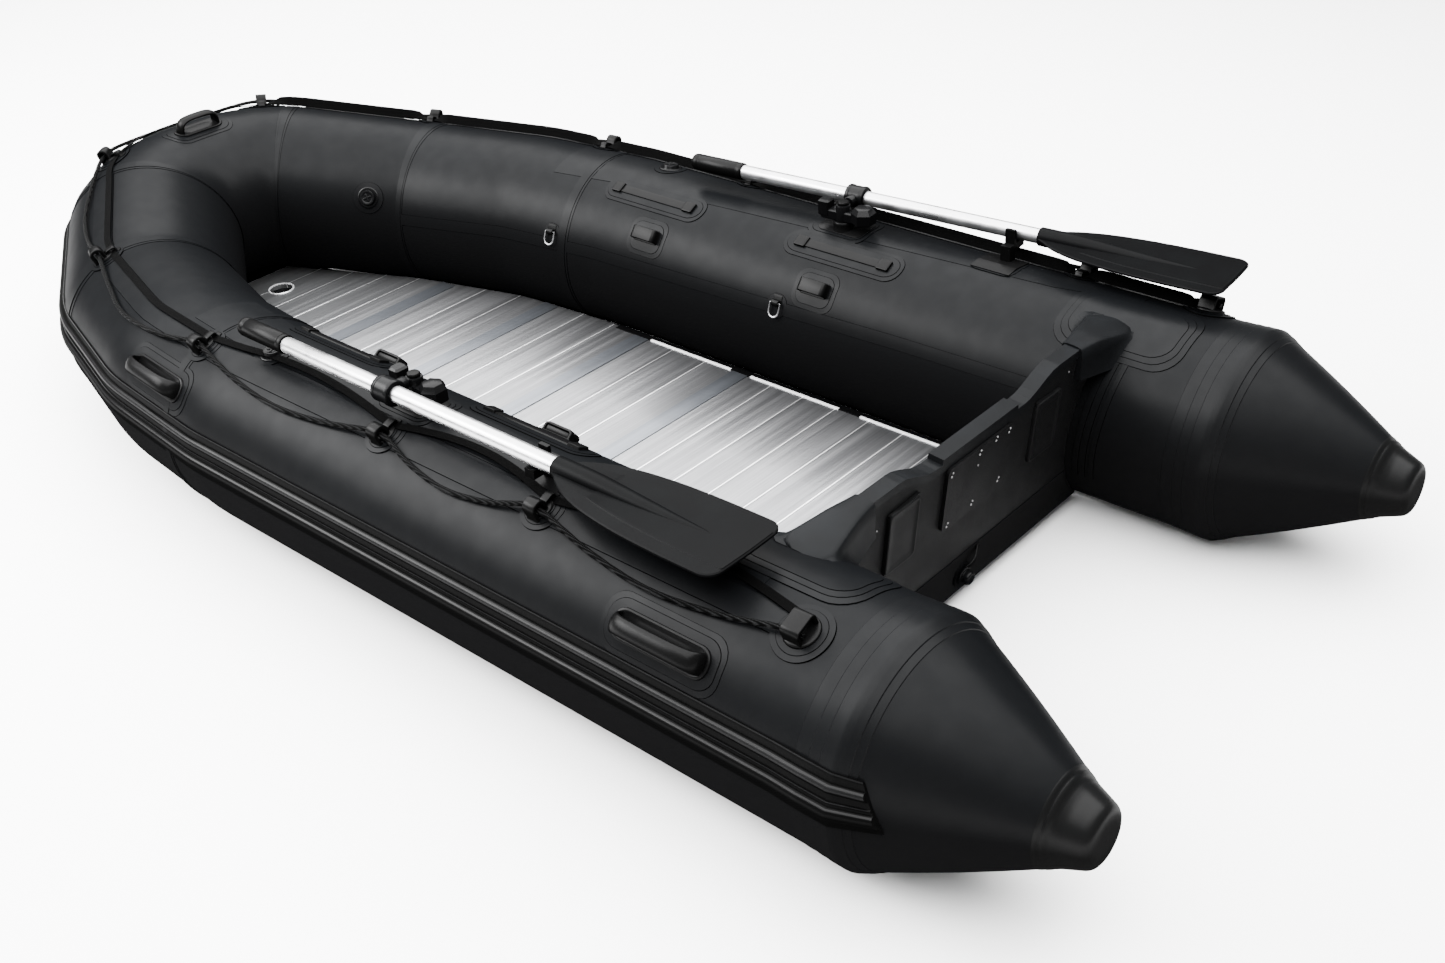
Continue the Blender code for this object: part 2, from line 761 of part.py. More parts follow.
def make_bottom():
    foot = transom @ Vector((board_thickness / 2 + seat_gap, 0, -skin_drop))
    rows = []
    for index in range(bow_index + 1, len(hull_line) - 1):
        run = (hull_line[index + 1] - hull_line[index]).length
        steps = math.ceil(run / skin_row_spacing) if hull_line[index].x < front_x + bow_length else 1
        for k in range(steps):
            frame = between(index, k / steps) if k else station_frame(index)
            point = inner_tube_point(frame, skin_top, skin_side_clear)
            lowest = frame[0].z - tube_radius - skin_side_clear
            if point.x < foot.x - skin_row_spacing:
                rows.append(across_row((point.x, point.y, max(skin_top, lowest))))
    side = inner_tube_point(station_frame(len(hull_line) - 1), skin_top, skin_side_clear)
    rows.append(across_row((foot.x, side.y, skin_top)))
    for height in flap_height_list:
        point = transom @ Vector((board_thickness / 2 + seat_gap, 0, height))
        reach = math.sqrt(tube_radius ** 2 - (axis_height - point.z) ** 2)
        rows.append(across_row((point.x, half_spacing - reach - skin_side_clear, point.z)))
    skin = thicken(sheet(rows), bottom_skin)
    combine(skin, rod((keel_valve_x, keel_valve_y, 0), (keel_valve_x, keel_valve_y, floor_height),
                      skin_valve_hole), "DIFFERENCE")
    combine(skin, drain_hole(), "DIFFERENCE")
    part(skin, "hull_bottom", charcoal)


def keel_ring(x, share):
    """A tube pressed flat under the floor: two half rounds with flats between."""
    top = skin_top - bottom_skin - seat_gap
    radius = top / 2
    half = keel_half_width * share - radius
    points = []
    steps = 5
    for side in (1, -1):
        for i in range(steps + 1):
            turn = half_turn * i / steps
            across = side * (half + radius * math.sin(turn))
            points.append((x, across, radius + side * radius * math.cos(turn)))
    return points


def make_keel():
    end_x = (transom @ Vector((0, 0, 0))).x - keel_end_gap
    places = [keel_start_x + keel_nose * k for k in range(len(keel_nose_shares))]
    rings = [keel_ring(x, share) for x, share in zip(places, keel_nose_shares)]
    rings.append(keel_ring(0, 1))
    rings.append(keel_ring(end_x - keel_nose, 1))
    rings.append(keel_ring(end_x, keel_nose_shares[1]))
    keel = thicken(loft(rings), keel_skin)
    place = Matrix.Translation((keel_valve_x, keel_valve_y, skin_top - bottom_skin - seat_gap))
    combine(keel, valve_hole(place), "DIFFERENCE")
    part(keel, "keel_tube", charcoal)
    air_valve("keel_valve", place)


# Floor: boards between joint profiles, with stringers on the straight edges
board_sheet = 0.0140
plank_pitch = 0.0987
plank_wall = 0.0016
profile_wall = 0.0020
joint_width = 0.0488
joint_pitch = 0.3449
first_joint_x = -0.8939
joint_count = 4
joint_web = 0.0040
board_end_gap = 0.0010
bow_board_x = -1.400
floor_clear = 0.0040
board_edge_inset = 0.0050
stringer_depth = 0.0200
stringer_start_x = -0.300
floor_end_gap = 0.003

board_low = floor_height - board_sheet
profile_high = floor_height + seat_gap + profile_wall
profile_low = board_low - seat_gap - profile_wall
floor_end_x = (transom @ Vector((-board_thickness / 2, 0, 0))).x - floor_end_gap


def floor_edge():
    """Points (x, half width) where the floor meets the tubes, bow first."""
    points = []
    for index in range(bow_index + 1, len(hull_line)):
        point = inner_tube_point(station_frame(index), profile_high, floor_clear)
        points.append((point.x, point.y))
    return points


def half_width_at(x, edge):
    for (x0, y0), (x1, y1) in zip(edge, edge[1:]):
        if x0 <= x <= x1:
            return y0 + (y1 - y0) * (x - x0) / (x1 - x0)
    return edge[-1][1]


def board_outline_between(start, end, edge):
    widest = edge[-1][1] - board_edge_inset
    places = [start] + [x for x, y in edge if start < x < end] + [end]
    half = [(x, min(half_width_at(x, edge), widest)) for x in places]
    bends = [i for i in range(1, len(half) - 1)
             if not half[i - 1][1] == half[i][1] == half[i + 1][1]]
    half = [half[0]] + [half[i] for i in bends] + [half[-1]]
    return half + [(x, -y) for x, y in reversed(half)]


def upright(points, low, high):
    """A flat outline of (x, z) points, extruded across the boat."""
    frame = Matrix(((1, 0, 0, 0), (0, 0, -1, 0), (0, 1, 0, 0), (0, 0, 0, 1)))
    return slab(points, low, high, frame)


def make_floor():
    edge = floor_edge()
    webs = [first_joint_x + joint_pitch * k for k in range(joint_count)]
    cuts = [bow_board_x] + webs + [floor_end_x]
    names = ["bow_board", "floor_board_1", "floor_board_2", "floor_board_3", "stern_board"]
    step = joint_web / 2 + board_end_gap
    for name, start, end in zip(names, cuts, cuts[1:]):
        low = start + (step if start in webs else 0)
        high = end - (step if end in webs else 0)
        board = slab(board_outline_between(low, high, edge), board_low, floor_height)
        hollow_planks(board, low, high)
        if name == "bow_board":
            hole = rod((keel_valve_x, keel_valve_y, 0), (keel_valve_x, keel_valve_y, floor_height * 2),
                       board_valve_hole, board_hole_sides)
            combine(board, hole, "DIFFERENCE")
        part(board, name, brushed_aluminium)
    for number, x in enumerate(webs, 1):
        make_joint(number, x, edge)
    for side, word in ((-1, "port"), (1, "starboard")):
        make_stringer(side, word, edge[-1][1])


def hollow_planks(board, low, high):
    """Each plank is a hollow extrusion, open at its ends, except where the valve hole passes."""
    count = round((high - low) / plank_pitch)
    width = (high - low) / count
    for k in range(count):
        start = low + width * k + plank_wall
        end = low + width * (k + 1) - plank_wall
        if start < keel_valve_x + board_valve_hole and end > keel_valve_x - board_valve_hole:
            continue
        channel = box((start, -half_spacing, board_low + plank_wall),
                      (end, half_spacing, floor_height - plank_wall))
        combine(board, channel, "DIFFERENCE")


def make_joint(number, x, edge):
    half = joint_width / 2
    web = joint_web / 2
    low = board_low - seat_gap
    high = floor_height + seat_gap
    section = [(-half, profile_low), (half, profile_low), (half, low), (web, low), (web, high),
               (half, high), (half, profile_high), (-half, profile_high), (-half, high),
               (-web, high), (-web, low), (-half, low)]
    reach = min(half_width_at(x - half, edge), edge[-1][1] - stringer_depth - slide_gap)
    profile = upright([(x + dx, z) for dx, z in section], -reach, reach)
    part(profile, "joint_profile_" + str(number), polished_aluminium)


def make_stringer(side, word, outer):
    inner = outer - stringer_depth
    wall = outer - profile_wall
    section = [(inner, profile_low), (outer, profile_low), (outer, profile_high), (inner, profile_high),
               (inner, floor_height + seat_gap), (wall, floor_height + seat_gap),
               (wall, board_low - seat_gap), (inner, board_low - seat_gap)]
    frame = Matrix(((0, 0, 1, 0), (side, 0, 0, 0), (0, 1, 0, 0), (0, 0, 0, 1)))
    stringer = slab(section, stringer_start_x, floor_end_x, frame)
    part(stringer, word + "_stringer", polished_aluminium)


# Oars and rowlocks. Each oar's frame has its origin in the collar, X along the shaft to the blade
port_lock_x = 0.170
starboard_lock_x = 0.350
port_shaft_outset = 0.050
starboard_shaft_outset = 0.037
starboard_splay = math.radians(5)
shaft_lift = 0.055
shaft_radius = 0.0175
shaft_wall = 0.0015
grip_end = 0.490
grip_length = 0.155
grip_radius = 0.0210
grip_end_share = 0.8
grip_round = 0.0030
socket_start = 0.480
socket_radius = 0.0215
socket_depth = 0.080
blade_tip = 0.930
blade_thickness = 0.0070
blade_rib_end = 0.050
blade_rib_radius = 0.0060
blade_along_shares = [0.02, 0.10, 0.20, 0.32, 0.50, 0.75, 0.90, 0.97, 1.0]
blade_half_width = 0.095
blade_across_shares = [0.22, 0.50, 0.70, 0.84, 0.95, 1.0, 1.0, 0.93, 0.78]
collar_half = 0.025
collar_radius = 0.0270
post_offset = 0.065
post_radius = 0.0090
bushing_radius = 0.0180
boss_radius = 0.0135
boss_outer = 0.0430
pin_radius = 0.0072
pedestal_radius = 0.0240
knob_radius = 0.0140
knob_height = 0.0100
base_half_length = 0.075
base_angles = [-18, 12]
base_thickness = 0.004
foot_sink = 0.008
pin_wall = 0.010
clip_along = 0.420
clip_half = 0.012
clip_foot_inner = 0.050
clip_foot_outer = 0.024
clip_tab_inner = 0.030
clip_tab_outer = 0.0215
clip_tab_height = 0.014
clip_arm_reach = 0.018
clip_arm = 0.018
clip_angles = [-8, 13.5]


def oar_frame(side):
    lock_x = port_lock_x if side < 0 else starboard_lock_x
    y = half_spacing + (port_shaft_outset if side < 0 else starboard_shaft_outset)
    splay = 0 if side < 0 else starboard_splay
    height = axis_height + tube_radius + shaft_lift
    return Matrix.Translation((lock_x, side * y, height)) @ Matrix.Rotation(side * splay, 4, "Z")


def make_oar(side, word):
    frame = oar_frame(side)
    origin = frame.translation
    start = -grip_end + grip_round
    end = socket_start + socket_depth - slide_gap
    shaft = rod(frame @ Vector((start, 0, 0)), frame @ Vector((end, 0, 0)), shaft_radius, round_sides)
    bore = rod(frame @ Vector((start - cut_overrun, 0, 0)), frame @ Vector((end + cut_overrun, 0, 0)),
               shaft_radius - shaft_wall, round_sides)
    combine(shaft, bore, "DIFFERENCE")
    set_origin(part(shaft, word + "_oar_shaft", polished_aluminium), origin)
    inner = shaft_radius + seat_gap
    closed = shaft_wall
    profile = [(0, grip_length), (grip_radius * grip_end_share, grip_length),
               (grip_radius, grip_length - grip_round), (grip_radius, 0), (inner, 0),
               (inner, grip_length - closed), (0, grip_length - closed)]
    backward = Matrix.Translation((-grip_end + grip_length, 0, 0)) @ Matrix.Rotation(-quarter_turn, 4, "Y")
    grip = turned(profile, round_sides, frame @ backward)
    set_origin(part(grip, word + "_oar_grip", black_rubber), origin)
    make_blade(frame, word)
    make_rowlock(side, word, frame)
    make_clip(side, word, frame)


def make_blade(frame, word):
    length = blade_tip - socket_start
    half = [(socket_start + length * along, blade_half_width * across)
            for along, across in zip(blade_along_shares, blade_across_shares)]
    outline = half + [(x, -y) for x, y in reversed(half)]
    blade = slab(outline, -blade_thickness / 2, blade_thickness / 2, frame)
    profile = [(0, blade_tip - blade_rib_end), (blade_rib_radius, blade_tip - blade_rib_end),
               (socket_radius, socket_start + socket_depth), (socket_radius, socket_start),
               (0, socket_start)]
    forward = Matrix.Rotation(quarter_turn, 4, "Y")
    combine(blade, turned(profile, round_sides, frame @ forward), "UNION")
    bore = rod(frame @ Vector((socket_start - cut_overrun, 0, 0)),
               frame @ Vector((socket_start + socket_depth, 0, 0)), shaft_radius + slide_gap, round_sides)
    combine(blade, bore, "DIFFERENCE")
    set_origin(part(blade, word + "_oar_blade", black_plastic), frame.translation)


def make_rowlock(side, word, frame):
    inboard = -side

    def at(x, depth, z):
        return frame @ Vector((x, inboard * depth, z))

    collar = rod(at(-collar_half, 0, 0), at(collar_half, 0, 0), collar_radius, round_sides)
    combine(collar, rod(at(0, shaft_radius, 0), at(0, boss_outer, 0), boss_radius), "UNION")
    bore = rod(at(-collar_half - cut_overrun, 0, 0), at(collar_half + cut_overrun, 0, 0),
               shaft_radius + seat_gap, round_sides)
    combine(collar, bore, "DIFFERENCE")
    pin_tip = shaft_radius + pin_wall
    hole = rod(at(0, pin_tip - slide_gap * 2, 0), at(0, boss_outer + cut_overrun, 0),
               pin_radius + slide_gap)
    combine(collar, hole, "DIFFERENCE")
    set_origin(part(collar, word + "_oar_collar", black_plastic), frame.translation)

    post = at(0, post_offset, 0)
    low = post.z - collar_radius - shaft_radius / 2
    high = post.z + boss_radius + cut_overrun
    swivel = rod((post.x, post.y, low), (post.x, post.y, high), bushing_radius)
    combine(swivel, rod(at(0, pin_tip, 0), at(0, post_offset, 0), pin_radius), "UNION")
    hole = rod((post.x, post.y, low - cut_overrun), (post.x, post.y, high + cut_overrun),
               post_radius + slide_gap)
    combine(swivel, hole, "DIFFERENCE")
    set_origin(part(swivel, word + "_rowlock_swivel", black_plastic), post)

    base = patch(post.x - base_half_length, post.x + base_half_length, side, base_angles, base_thickness)
    surface = axis_height + tube_radius
    pedestal = rod((post.x, post.y, surface - foot_sink), (post.x, post.y, low - slide_gap),
                   pedestal_radius)
    combine(pedestal, side_tube_cutter(side, base_thickness / 2), "DIFFERENCE")
    combine(base, pedestal, "UNION")
    top = high + slide_gap
    combine(base, rod((post.x, post.y, surface + base_thickness), (post.x, post.y, top + knob_height / 2),
                      post_radius), "UNION")
    combine(base, rod((post.x, post.y, top), (post.x, post.y, top + knob_height), knob_radius), "UNION")
    part(base, word + "_rowlock_base", black_rubber)


def make_clip(side, word, frame):
    """A saddle under the shaft with a tab inboard of it, on a pad glued to the tube."""
    under = -shaft_radius - slide_gap * 2
    arm = under - clip_arm
    foot = -shaft_lift - foot_sink
    outline = [(clip_foot_inner, foot), (clip_foot_outer, foot), (clip_foot_outer, arm),
               (-clip_arm_reach, arm), (-clip_arm_reach, under), (clip_tab_outer, under),
               (clip_tab_outer, clip_tab_height), (clip_tab_inner, clip_tab_height),
               (clip_tab_inner, under), (clip_foot_inner, under)]
    outline = [(-side * depth, z) for depth, z in outline]
    block = slab(outline, clip_along - clip_half, clip_along + clip_half, frame @ stand_up)
    combine(block, side_tube_cutter(side, base_thickness / 2), "DIFFERENCE")
    middle = (frame @ Vector((clip_along, 0, 0))).x
    base = patch(middle - clip_foot_inner, middle + clip_foot_inner, side, clip_angles, base_thickness)
    combine(base, block, "UNION")
    part(base, word + "_oar_clip", black_rubber)


# Grab gear: holders on a strip, the lifeline through their eyes, the strap through their slots
rope_facet = 1
rope_strip_angles = [17, 28]
rope_strip_thickness = 0.0015
holder_disc_radius = 0.036
anchor_disc_radius = 0.046
holder_disc = 0.0042
disc_low = 0.0010
block_low = 0.0020
eye_half = 0.010
anchor_growth = 2
eye_inner = -0.003
eye_outer = 0.027
eye_top = 0.034
eye_y = 0.013
eye_z = 0.021
eye_hole = 0.0085
bridge_half = 0.007
bridge_inner = -0.0325
bridge_top = 0.0135
slot_inner = -0.0292
slot_outer = -0.0088
slot_low = 0.0043
slot_high = 0.0095
strap_angles = [15.6, 20.0]
strap_lift = 0.0055
strap_thickness = 0.0023
anchor_x = 1.239
bow_holder_setback = 0.043
bow_holder_x = front_x + bow_holder_setback
port_holder_xs = [0.640, 0.190, -0.440, -1.050, bow_holder_x]
starboard_holder_xs = [bow_holder_x, -1.090, -0.520, -0.020, 0.250, 0.940]
rope_radius = 0.005
rope_end = 0.018
eye_angle = 25.5
eye_lead = 0.034
lead_angle = 26.0
lead_height = 0.018
sag_shares = [0.28, 0.50, 0.72]
sag_angles = [29.5, 31.0, 29.5]
sag_height = 0.009


def holder(frame, disc_radius, grow):
    """A moulded holder: round foot, rope eye outboard, strap slot inboard."""
    def block(low, high):
        solid = box(low, high)
        solid.data.transform(frame)
        return solid

    foot = rod(frame @ Vector((0, 0, disc_low)), frame @ Vector((0, 0, holder_disc)), disc_radius, disc_sides)
    combine(foot, block((-eye_half * grow, eye_inner, block_low), (eye_half * grow, eye_outer, eye_top)),
            "UNION")
    combine(foot, block((-bridge_half * grow, bridge_inner, block_low),
                        (bridge_half * grow, 0, bridge_top)), "UNION")
    eye = rod(frame @ Vector((-eye_half * grow - cut_overrun, eye_y, eye_z)),
              frame @ Vector((eye_half * grow + cut_overrun, eye_y, eye_z)), eye_hole, bore_sides)
    combine(foot, eye, "DIFFERENCE")
    combine(foot, block((-bridge_half * grow - cut_overrun, slot_inner, slot_low),
                        (bridge_half * grow + cut_overrun, slot_outer, slot_high)), "DIFFERENCE")
    return foot


def holder_places():
    """Every holder in order along the hull line, stern anchors first and last."""
    places = [(anchor_x, -1)] + [(x, -1) for x in port_holder_xs]
    places += [(x, 1) for x in starboard_holder_xs] + [(anchor_x, 1)]
    return [hull_point_at(x, side) for x, side in places]


def distance_of(place):
    """The length along the hull line from its port end to a place on it."""
    index, share = place
    total = sum((hull_line[i + 1] - hull_line[i]).length for i in range(index))
    return total + share * (hull_line[index + 1] - hull_line[index]).length


def place_at(distance):
    index = 0
    while index < len(hull_line) - 2:
        length = (hull_line[index + 1] - hull_line[index]).length
        if distance <= length:
            break
        distance -= length
        index += 1
    return index, distance / (hull_line[index + 1] - hull_line[index]).length


def tube_point(place, angle, height):
    centre, along, out, up = between(*place)
    turn = math.radians(angle)
    radial = out * math.sin(turn) + up * math.cos(turn)
    return centre + radial * (tube_radius * math.cos(facet_angle / 2) + height)


def make_grab_gear():
    places = holder_places()
    first = hull_point_at(anchor_x + anchor_disc_radius * 2, -1)
    last = hull_point_at(anchor_x + anchor_disc_radius * 2, 1)
    strip = hull_strip(first, last, rope_strip_angles, seat_gap, [rope_strip_thickness] * 2)
    for place in places:
        is_anchor = place in (places[0], places[-1])
        size = anchor_disc_radius if is_anchor else holder_disc_radius
        fitting = holder(facet_frame(*place, rope_facet), size, anchor_growth if is_anchor else 1)
        combine(strip, fitting, "UNION")
    part(strip, "rope_strip", black_rubber)

    ends = [hull_point_at(anchor_x + rope_end, -1), hull_point_at(anchor_x + rope_end, 1)]
    strap = hull_strip(ends[0], ends[1], strap_angles, strap_lift, [strap_thickness] * 2)
    part(strap, "flat_strap", charcoal_trim)

    distances = [distance_of(place) for place in places]
    route = [tube_point(ends[0], eye_angle, eye_z)]
    for start, end in zip(distances, distances[1:]):
        route.append(tube_point(place_at(start), eye_angle, eye_z))
        route.append(tube_point(place_at(start + eye_lead), lead_angle, lead_height))
        for share, angle in zip(sag_shares, sag_angles):
            route.append(tube_point(place_at(start + (end - start) * share), angle, sag_height))
        route.append(tube_point(place_at(end - eye_lead), lead_angle, lead_height))
    route.append(tube_point(places[-1], eye_angle, eye_z))
    route.append(tube_point(ends[1], eye_angle, eye_z))
    part(wire(route, rope_radius, 2), "lifeline", rope_finish, 60)


def wire(points, radius, resolution, cyclic=False):
    """A round wire or rope through points, as a mesh with closed ends."""
    curve = bpy.data.curves.new("wire", "CURVE")
    curve.dimensions = "3D"
    curve.bevel_depth = radius
    curve.bevel_resolution = resolution
    curve.use_fill_caps = True
    spline = curve.splines.new("POLY")
    spline.points.add(len(points) - 1)
    for point, place in zip(spline.points, points):
        point.co = (*place, 1)
    spline.use_cyclic_u = cyclic
    thing = bpy.data.objects.new("wire", curve)
    cutters.objects.link(thing)
    bpy.context.view_layer.update()
    mesh = bpy.data.meshes.new_from_object(thing.evaluated_get(bpy.context.evaluated_depsgraph_get()))
    bpy.data.objects.remove(thing, do_unlink=True)
    bm = bmesh.new()
    bm.from_mesh(mesh)
    bmesh.ops.remove_doubles(bm, verts=bm.verts, dist=weld_distance)
    return add_mesh("wire", bm)


# Handles
handle_facet = 3
handle_angles = [42, 63]
stern_handle_x = 1.010
bow_handle_share = 0.8511
bow_handle_x = front_x + bow_length * bow_handle_share
handle_patch_half = 0.120
handle_patch = 0.003
handle_grip_half = 0.100
handle_rise = 0.034
handle_band_half = 0.017
handle_band = 0.006
handle_along_shares = [1.0, 0.92, 0.70, 0.35, 0.0]
handle_height_shares = [0.0, 0.35, 0.82, 0.97, 1.0]
top_handle_patch_half = 0.080
top_handle_grip_half = 0.058
top_handle_angles = [-17, 2]


def grip_band(frame, half_length):
    half = [(half_length * along, handle_rise * height)
            for along, height in zip(handle_along_shares, handle_height_shares)]
    line = [(-x, z) for x, z in half] + [(x, z) for x, z in reversed(half[:-1])]
    base = seat_gap + handle_patch / 2
    rings = []
    for x, z in line:
        ring = [(x, -handle_band_half, z + base), (x, handle_band_half, z + base),
                (x, handle_band_half, z + base + handle_band), (x, -handle_band_half, z + base + handle_band)]
        rings.append([frame @ Vector(point) for point in ring])
    return loft(rings)


def make_handles():
    for side, word in ((-1, "port"), (1, "starboard")):
        for x, name in ((stern_handle_x, "_stern_handle"), (bow_handle_x, "_bow_handle")):
            base = patch(x - handle_patch_half, x + handle_patch_half, side, handle_angles, handle_patch)
            frame = seat_frame(x, side, handle_facet)
            combine(base, grip_band(frame, handle_grip_half), "UNION")
            part(base, word + name, black_rubber)
    middle = distance_of((bow_index, 0))
    base = hull_strip(place_at(middle - top_handle_patch_half), place_at(middle + top_handle_patch_half),
                      top_handle_angles, seat_gap, [handle_patch] * 2)
    combine(base, grip_band(facet_frame(bow_index, 0, -1), top_handle_grip_half), "UNION")
    part(base, "bow_top_handle", black_rubber)


# Inner strips with belt blocks and ring seats
inner_angles = [-74.0, -62.5]
inner_strip_thickness = 0.0015
inner_start_x = -0.600
inner_end_x = 0.950
block_xs = [-0.155, 0.388]
block_facet = -4
block_patch_half = 0.055
block_patch_angles = [-64.0, -43.0]
block_patch = 0.003
pad_lift = 0.0004
block_half = 0.038
block_half_width = 0.016
block_height = 0.022
block_slot_half = 0.026
block_slot_low = 0.005
block_slot_high = 0.013
ring_xs = [-0.490, 0.294]
ring_names = ["_fore_ring", "_aft_ring"]
ring_facet = -5
ring_wire = 0.0020
ring_half = 0.0150
ring_length = 0.0340
ring_height = 0.0085
ring_seat_half = 0.0100
ring_seat_width = 0.0065
ring_seat_top = 0.0140
ring_bore = 0.0030
ring_steps = 8


def make_inner_fittings():
    for side, word in ((-1, "port"), (1, "starboard")):
        strip = patch(inner_start_x, inner_end_x, side, inner_angles, inner_strip_thickness)
        for x in block_xs:
            pad = patch(x - block_patch_half, x + block_patch_half, side, block_patch_angles,
                        block_patch, pad_lift)
            combine(strip, pad, "UNION")
            frame = seat_frame(x, side, block_facet)
            solid = box((-block_half, -block_half_width, block_patch / 2),
                        (block_half, block_half_width, block_height))
            solid.data.transform(frame)
            slot = box((-block_slot_half, -block_half_width - cut_overrun, block_slot_low),
                       (block_slot_half, block_half_width + cut_overrun, block_slot_high))
            slot.data.transform(frame)
            combine(solid, slot, "DIFFERENCE")
            combine(strip, solid, "UNION")
        for x, name in zip(ring_xs, ring_names):
            frame = seat_frame(x, side, ring_facet)
            seat = box((-ring_seat_half, -ring_seat_width, inner_strip_thickness / 2),
                       (ring_seat_half, ring_seat_width, ring_seat_top))
            seat.data.transform(frame)
            bore = rod(frame @ Vector((-ring_seat_half - cut_overrun, 0, ring_height)),
                       frame @ Vector((ring_seat_half + cut_overrun, 0, ring_height)), ring_bore,
                       bore_sides)
            combine(seat, bore, "DIFFERENCE")
            combine(strip, seat, "UNION")
            make_ring(frame, word + name)
        part(strip, word + "_inner_strip", charcoal_trim)


def make_ring(frame, name):
    """A steel D: a straight bar in the seat, and a bow hanging down from it."""
    points = [(-ring_half, 0), (ring_half, 0)]
    centre = -ring_length + ring_half
    for k in range(ring_steps + 1):
        turn = half_turn * k / ring_steps
        points.append((ring_half * math.cos(turn), centre - ring_half * math.sin(turn)))
    places = [frame @ Vector((x, y, ring_height)) for x, y in points]
    ring = part(wire(places, ring_wire, 1, cyclic=True), name, steel, 60)
    set_origin(ring, frame @ Vector((0, 0, ring_height)))


clear_scene()
make_hull()
make_rub_strake()
make_bottom()
make_keel()
make_floor()
make_transom()
make_oar(-1, "port")
make_oar(1, "starboard")
make_grab_gear()
make_handles()
make_inner_fittings()
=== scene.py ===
# %% [markdown]
# # An inflatable boat, dressed for its picture
# The solids of the boat are already made. This script loads them, gives each one its
# real finish, and adds what a plain solid lacks: smooth air chambers with glued seam
# tapes, moulded rope holders, a braided lifeline and the lines between the floor planks.
# +X runs aft, +Y to starboard and +Z up, all in metres.

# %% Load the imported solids
import math
import bpy
import bmesh
from mathutils import Matrix, Vector


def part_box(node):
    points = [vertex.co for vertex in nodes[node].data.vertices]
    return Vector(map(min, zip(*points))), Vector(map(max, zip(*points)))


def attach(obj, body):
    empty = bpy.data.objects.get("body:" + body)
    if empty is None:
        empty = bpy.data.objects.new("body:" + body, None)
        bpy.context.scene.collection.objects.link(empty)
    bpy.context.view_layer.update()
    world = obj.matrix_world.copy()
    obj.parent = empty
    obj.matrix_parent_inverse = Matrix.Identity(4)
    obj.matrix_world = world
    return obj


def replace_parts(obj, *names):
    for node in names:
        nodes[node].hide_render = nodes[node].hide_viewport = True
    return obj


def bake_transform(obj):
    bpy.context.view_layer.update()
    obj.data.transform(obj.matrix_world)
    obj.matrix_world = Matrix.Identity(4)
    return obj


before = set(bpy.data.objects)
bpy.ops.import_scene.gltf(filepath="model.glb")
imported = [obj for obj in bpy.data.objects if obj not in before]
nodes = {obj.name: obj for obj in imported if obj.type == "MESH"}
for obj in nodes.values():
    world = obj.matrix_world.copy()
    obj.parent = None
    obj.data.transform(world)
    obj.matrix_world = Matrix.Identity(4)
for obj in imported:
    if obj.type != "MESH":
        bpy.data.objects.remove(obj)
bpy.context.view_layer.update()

# %% [markdown]
# ## Camera
# The place of the camera was worked out from the photograph: the straight edges of the
# tubes, floor and transom fix its height, its turn and its lens. It looks down on the
# boat from behind the port quarter. Those edges say little about its roll, so the small
# roll used here is the least certain of these values.

# %% Stand the camera where the photographer stood
camera_place = Vector((2.5389, -2.2361, 2.0176))
camera_azimuth = math.radians(43.16)
camera_elevation = math.radians(32.44)
camera_roll = math.radians(-3.80)
camera_lens = 39.95
sensor_width = 36.0


def camera_turn(azimuth, elevation, roll):
    """The camera's own right, up and backward directions, as a rotation."""
    back = Vector((math.sin(azimuth) * math.cos(elevation),
                   -math.cos(azimuth) * math.cos(elevation), math.sin(elevation)))
    level = (-back).cross(Vector((0, 0, 1))).normalized()
    upright = level.cross(-back)
    right = level * math.cos(roll) + upright * math.sin(roll)
    up = upright * math.cos(roll) - level * math.sin(roll)
    return Matrix((right, up, back)).transposed()


lens = bpy.data.cameras.new("photo_camera")
lens.lens = camera_lens
lens.sensor_width = sensor_width
lens.clip_end = 100
camera = bpy.data.objects.new("photo_camera", lens)
turn = camera_turn(camera_azimuth, camera_elevation, camera_roll)
camera.matrix_world = Matrix.Translation(camera_place) @ turn.to_4x4()
bpy.context.scene.collection.objects.link(camera)
bpy.context.scene.camera = camera
print("camera", [round(value, 3) for value in camera_place])

# %% [markdown]
# ## Shader maths as plain sums
# A finish in Blender is a graph of small nodes. Writing `rib * 0.5 + dust` is easier to
# read than ten lines that place and link Math nodes, so one class stands for a socket
# and each sum on it adds the node that works it out.

# %% A socket that can be added and multiplied
class Wire:
    """One output of a shader node. Sums on it add Math nodes."""

    def __init__(self, finish, socket):
        self.finish = finish
        self.socket = socket

    def maths(self, operation, *values):
        return self.finish.node("ShaderNodeMath", {"operation": operation}, dict(enumerate(values)))

    def __add__(self, other):
        return self.maths("ADD", self, other)

    def __sub__(self, other):
        return self.maths("SUBTRACT", self, other)

    def __rsub__(self, other):
        return self.maths("SUBTRACT", other, self)

    def __mul__(self, other):
        return self.maths("MULTIPLY", self, other)

    def __truediv__(self, other):
        return self.maths("DIVIDE", self, other)

    def __rtruediv__(self, other):
        return self.maths("DIVIDE", other, self)

    __radd__ = __add__
    __rmul__ = __mul__

    def sine(self):
        return self.maths("SINE", self)

    def size(self):
        """How far this value is from zero."""
        return self.maths("ABSOLUTE", self)

    def nearest(self):
        """The whole number nearest to this value."""
        return self.maths("ROUND", self)

    def ramp(self, low, high, start=0.0, end=1.0):
        """Goes from start to end, smoothly, as this value goes from low to high."""
        settings = {"interpolation_type": "SMOOTHSTEP"}
        return self.finish.node("ShaderNodeMapRange", settings,
                                {"Value": self, "From Min": low, "From Max": high,
                                 "To Min": start, "To Max": end})


print("sums on sockets ready")


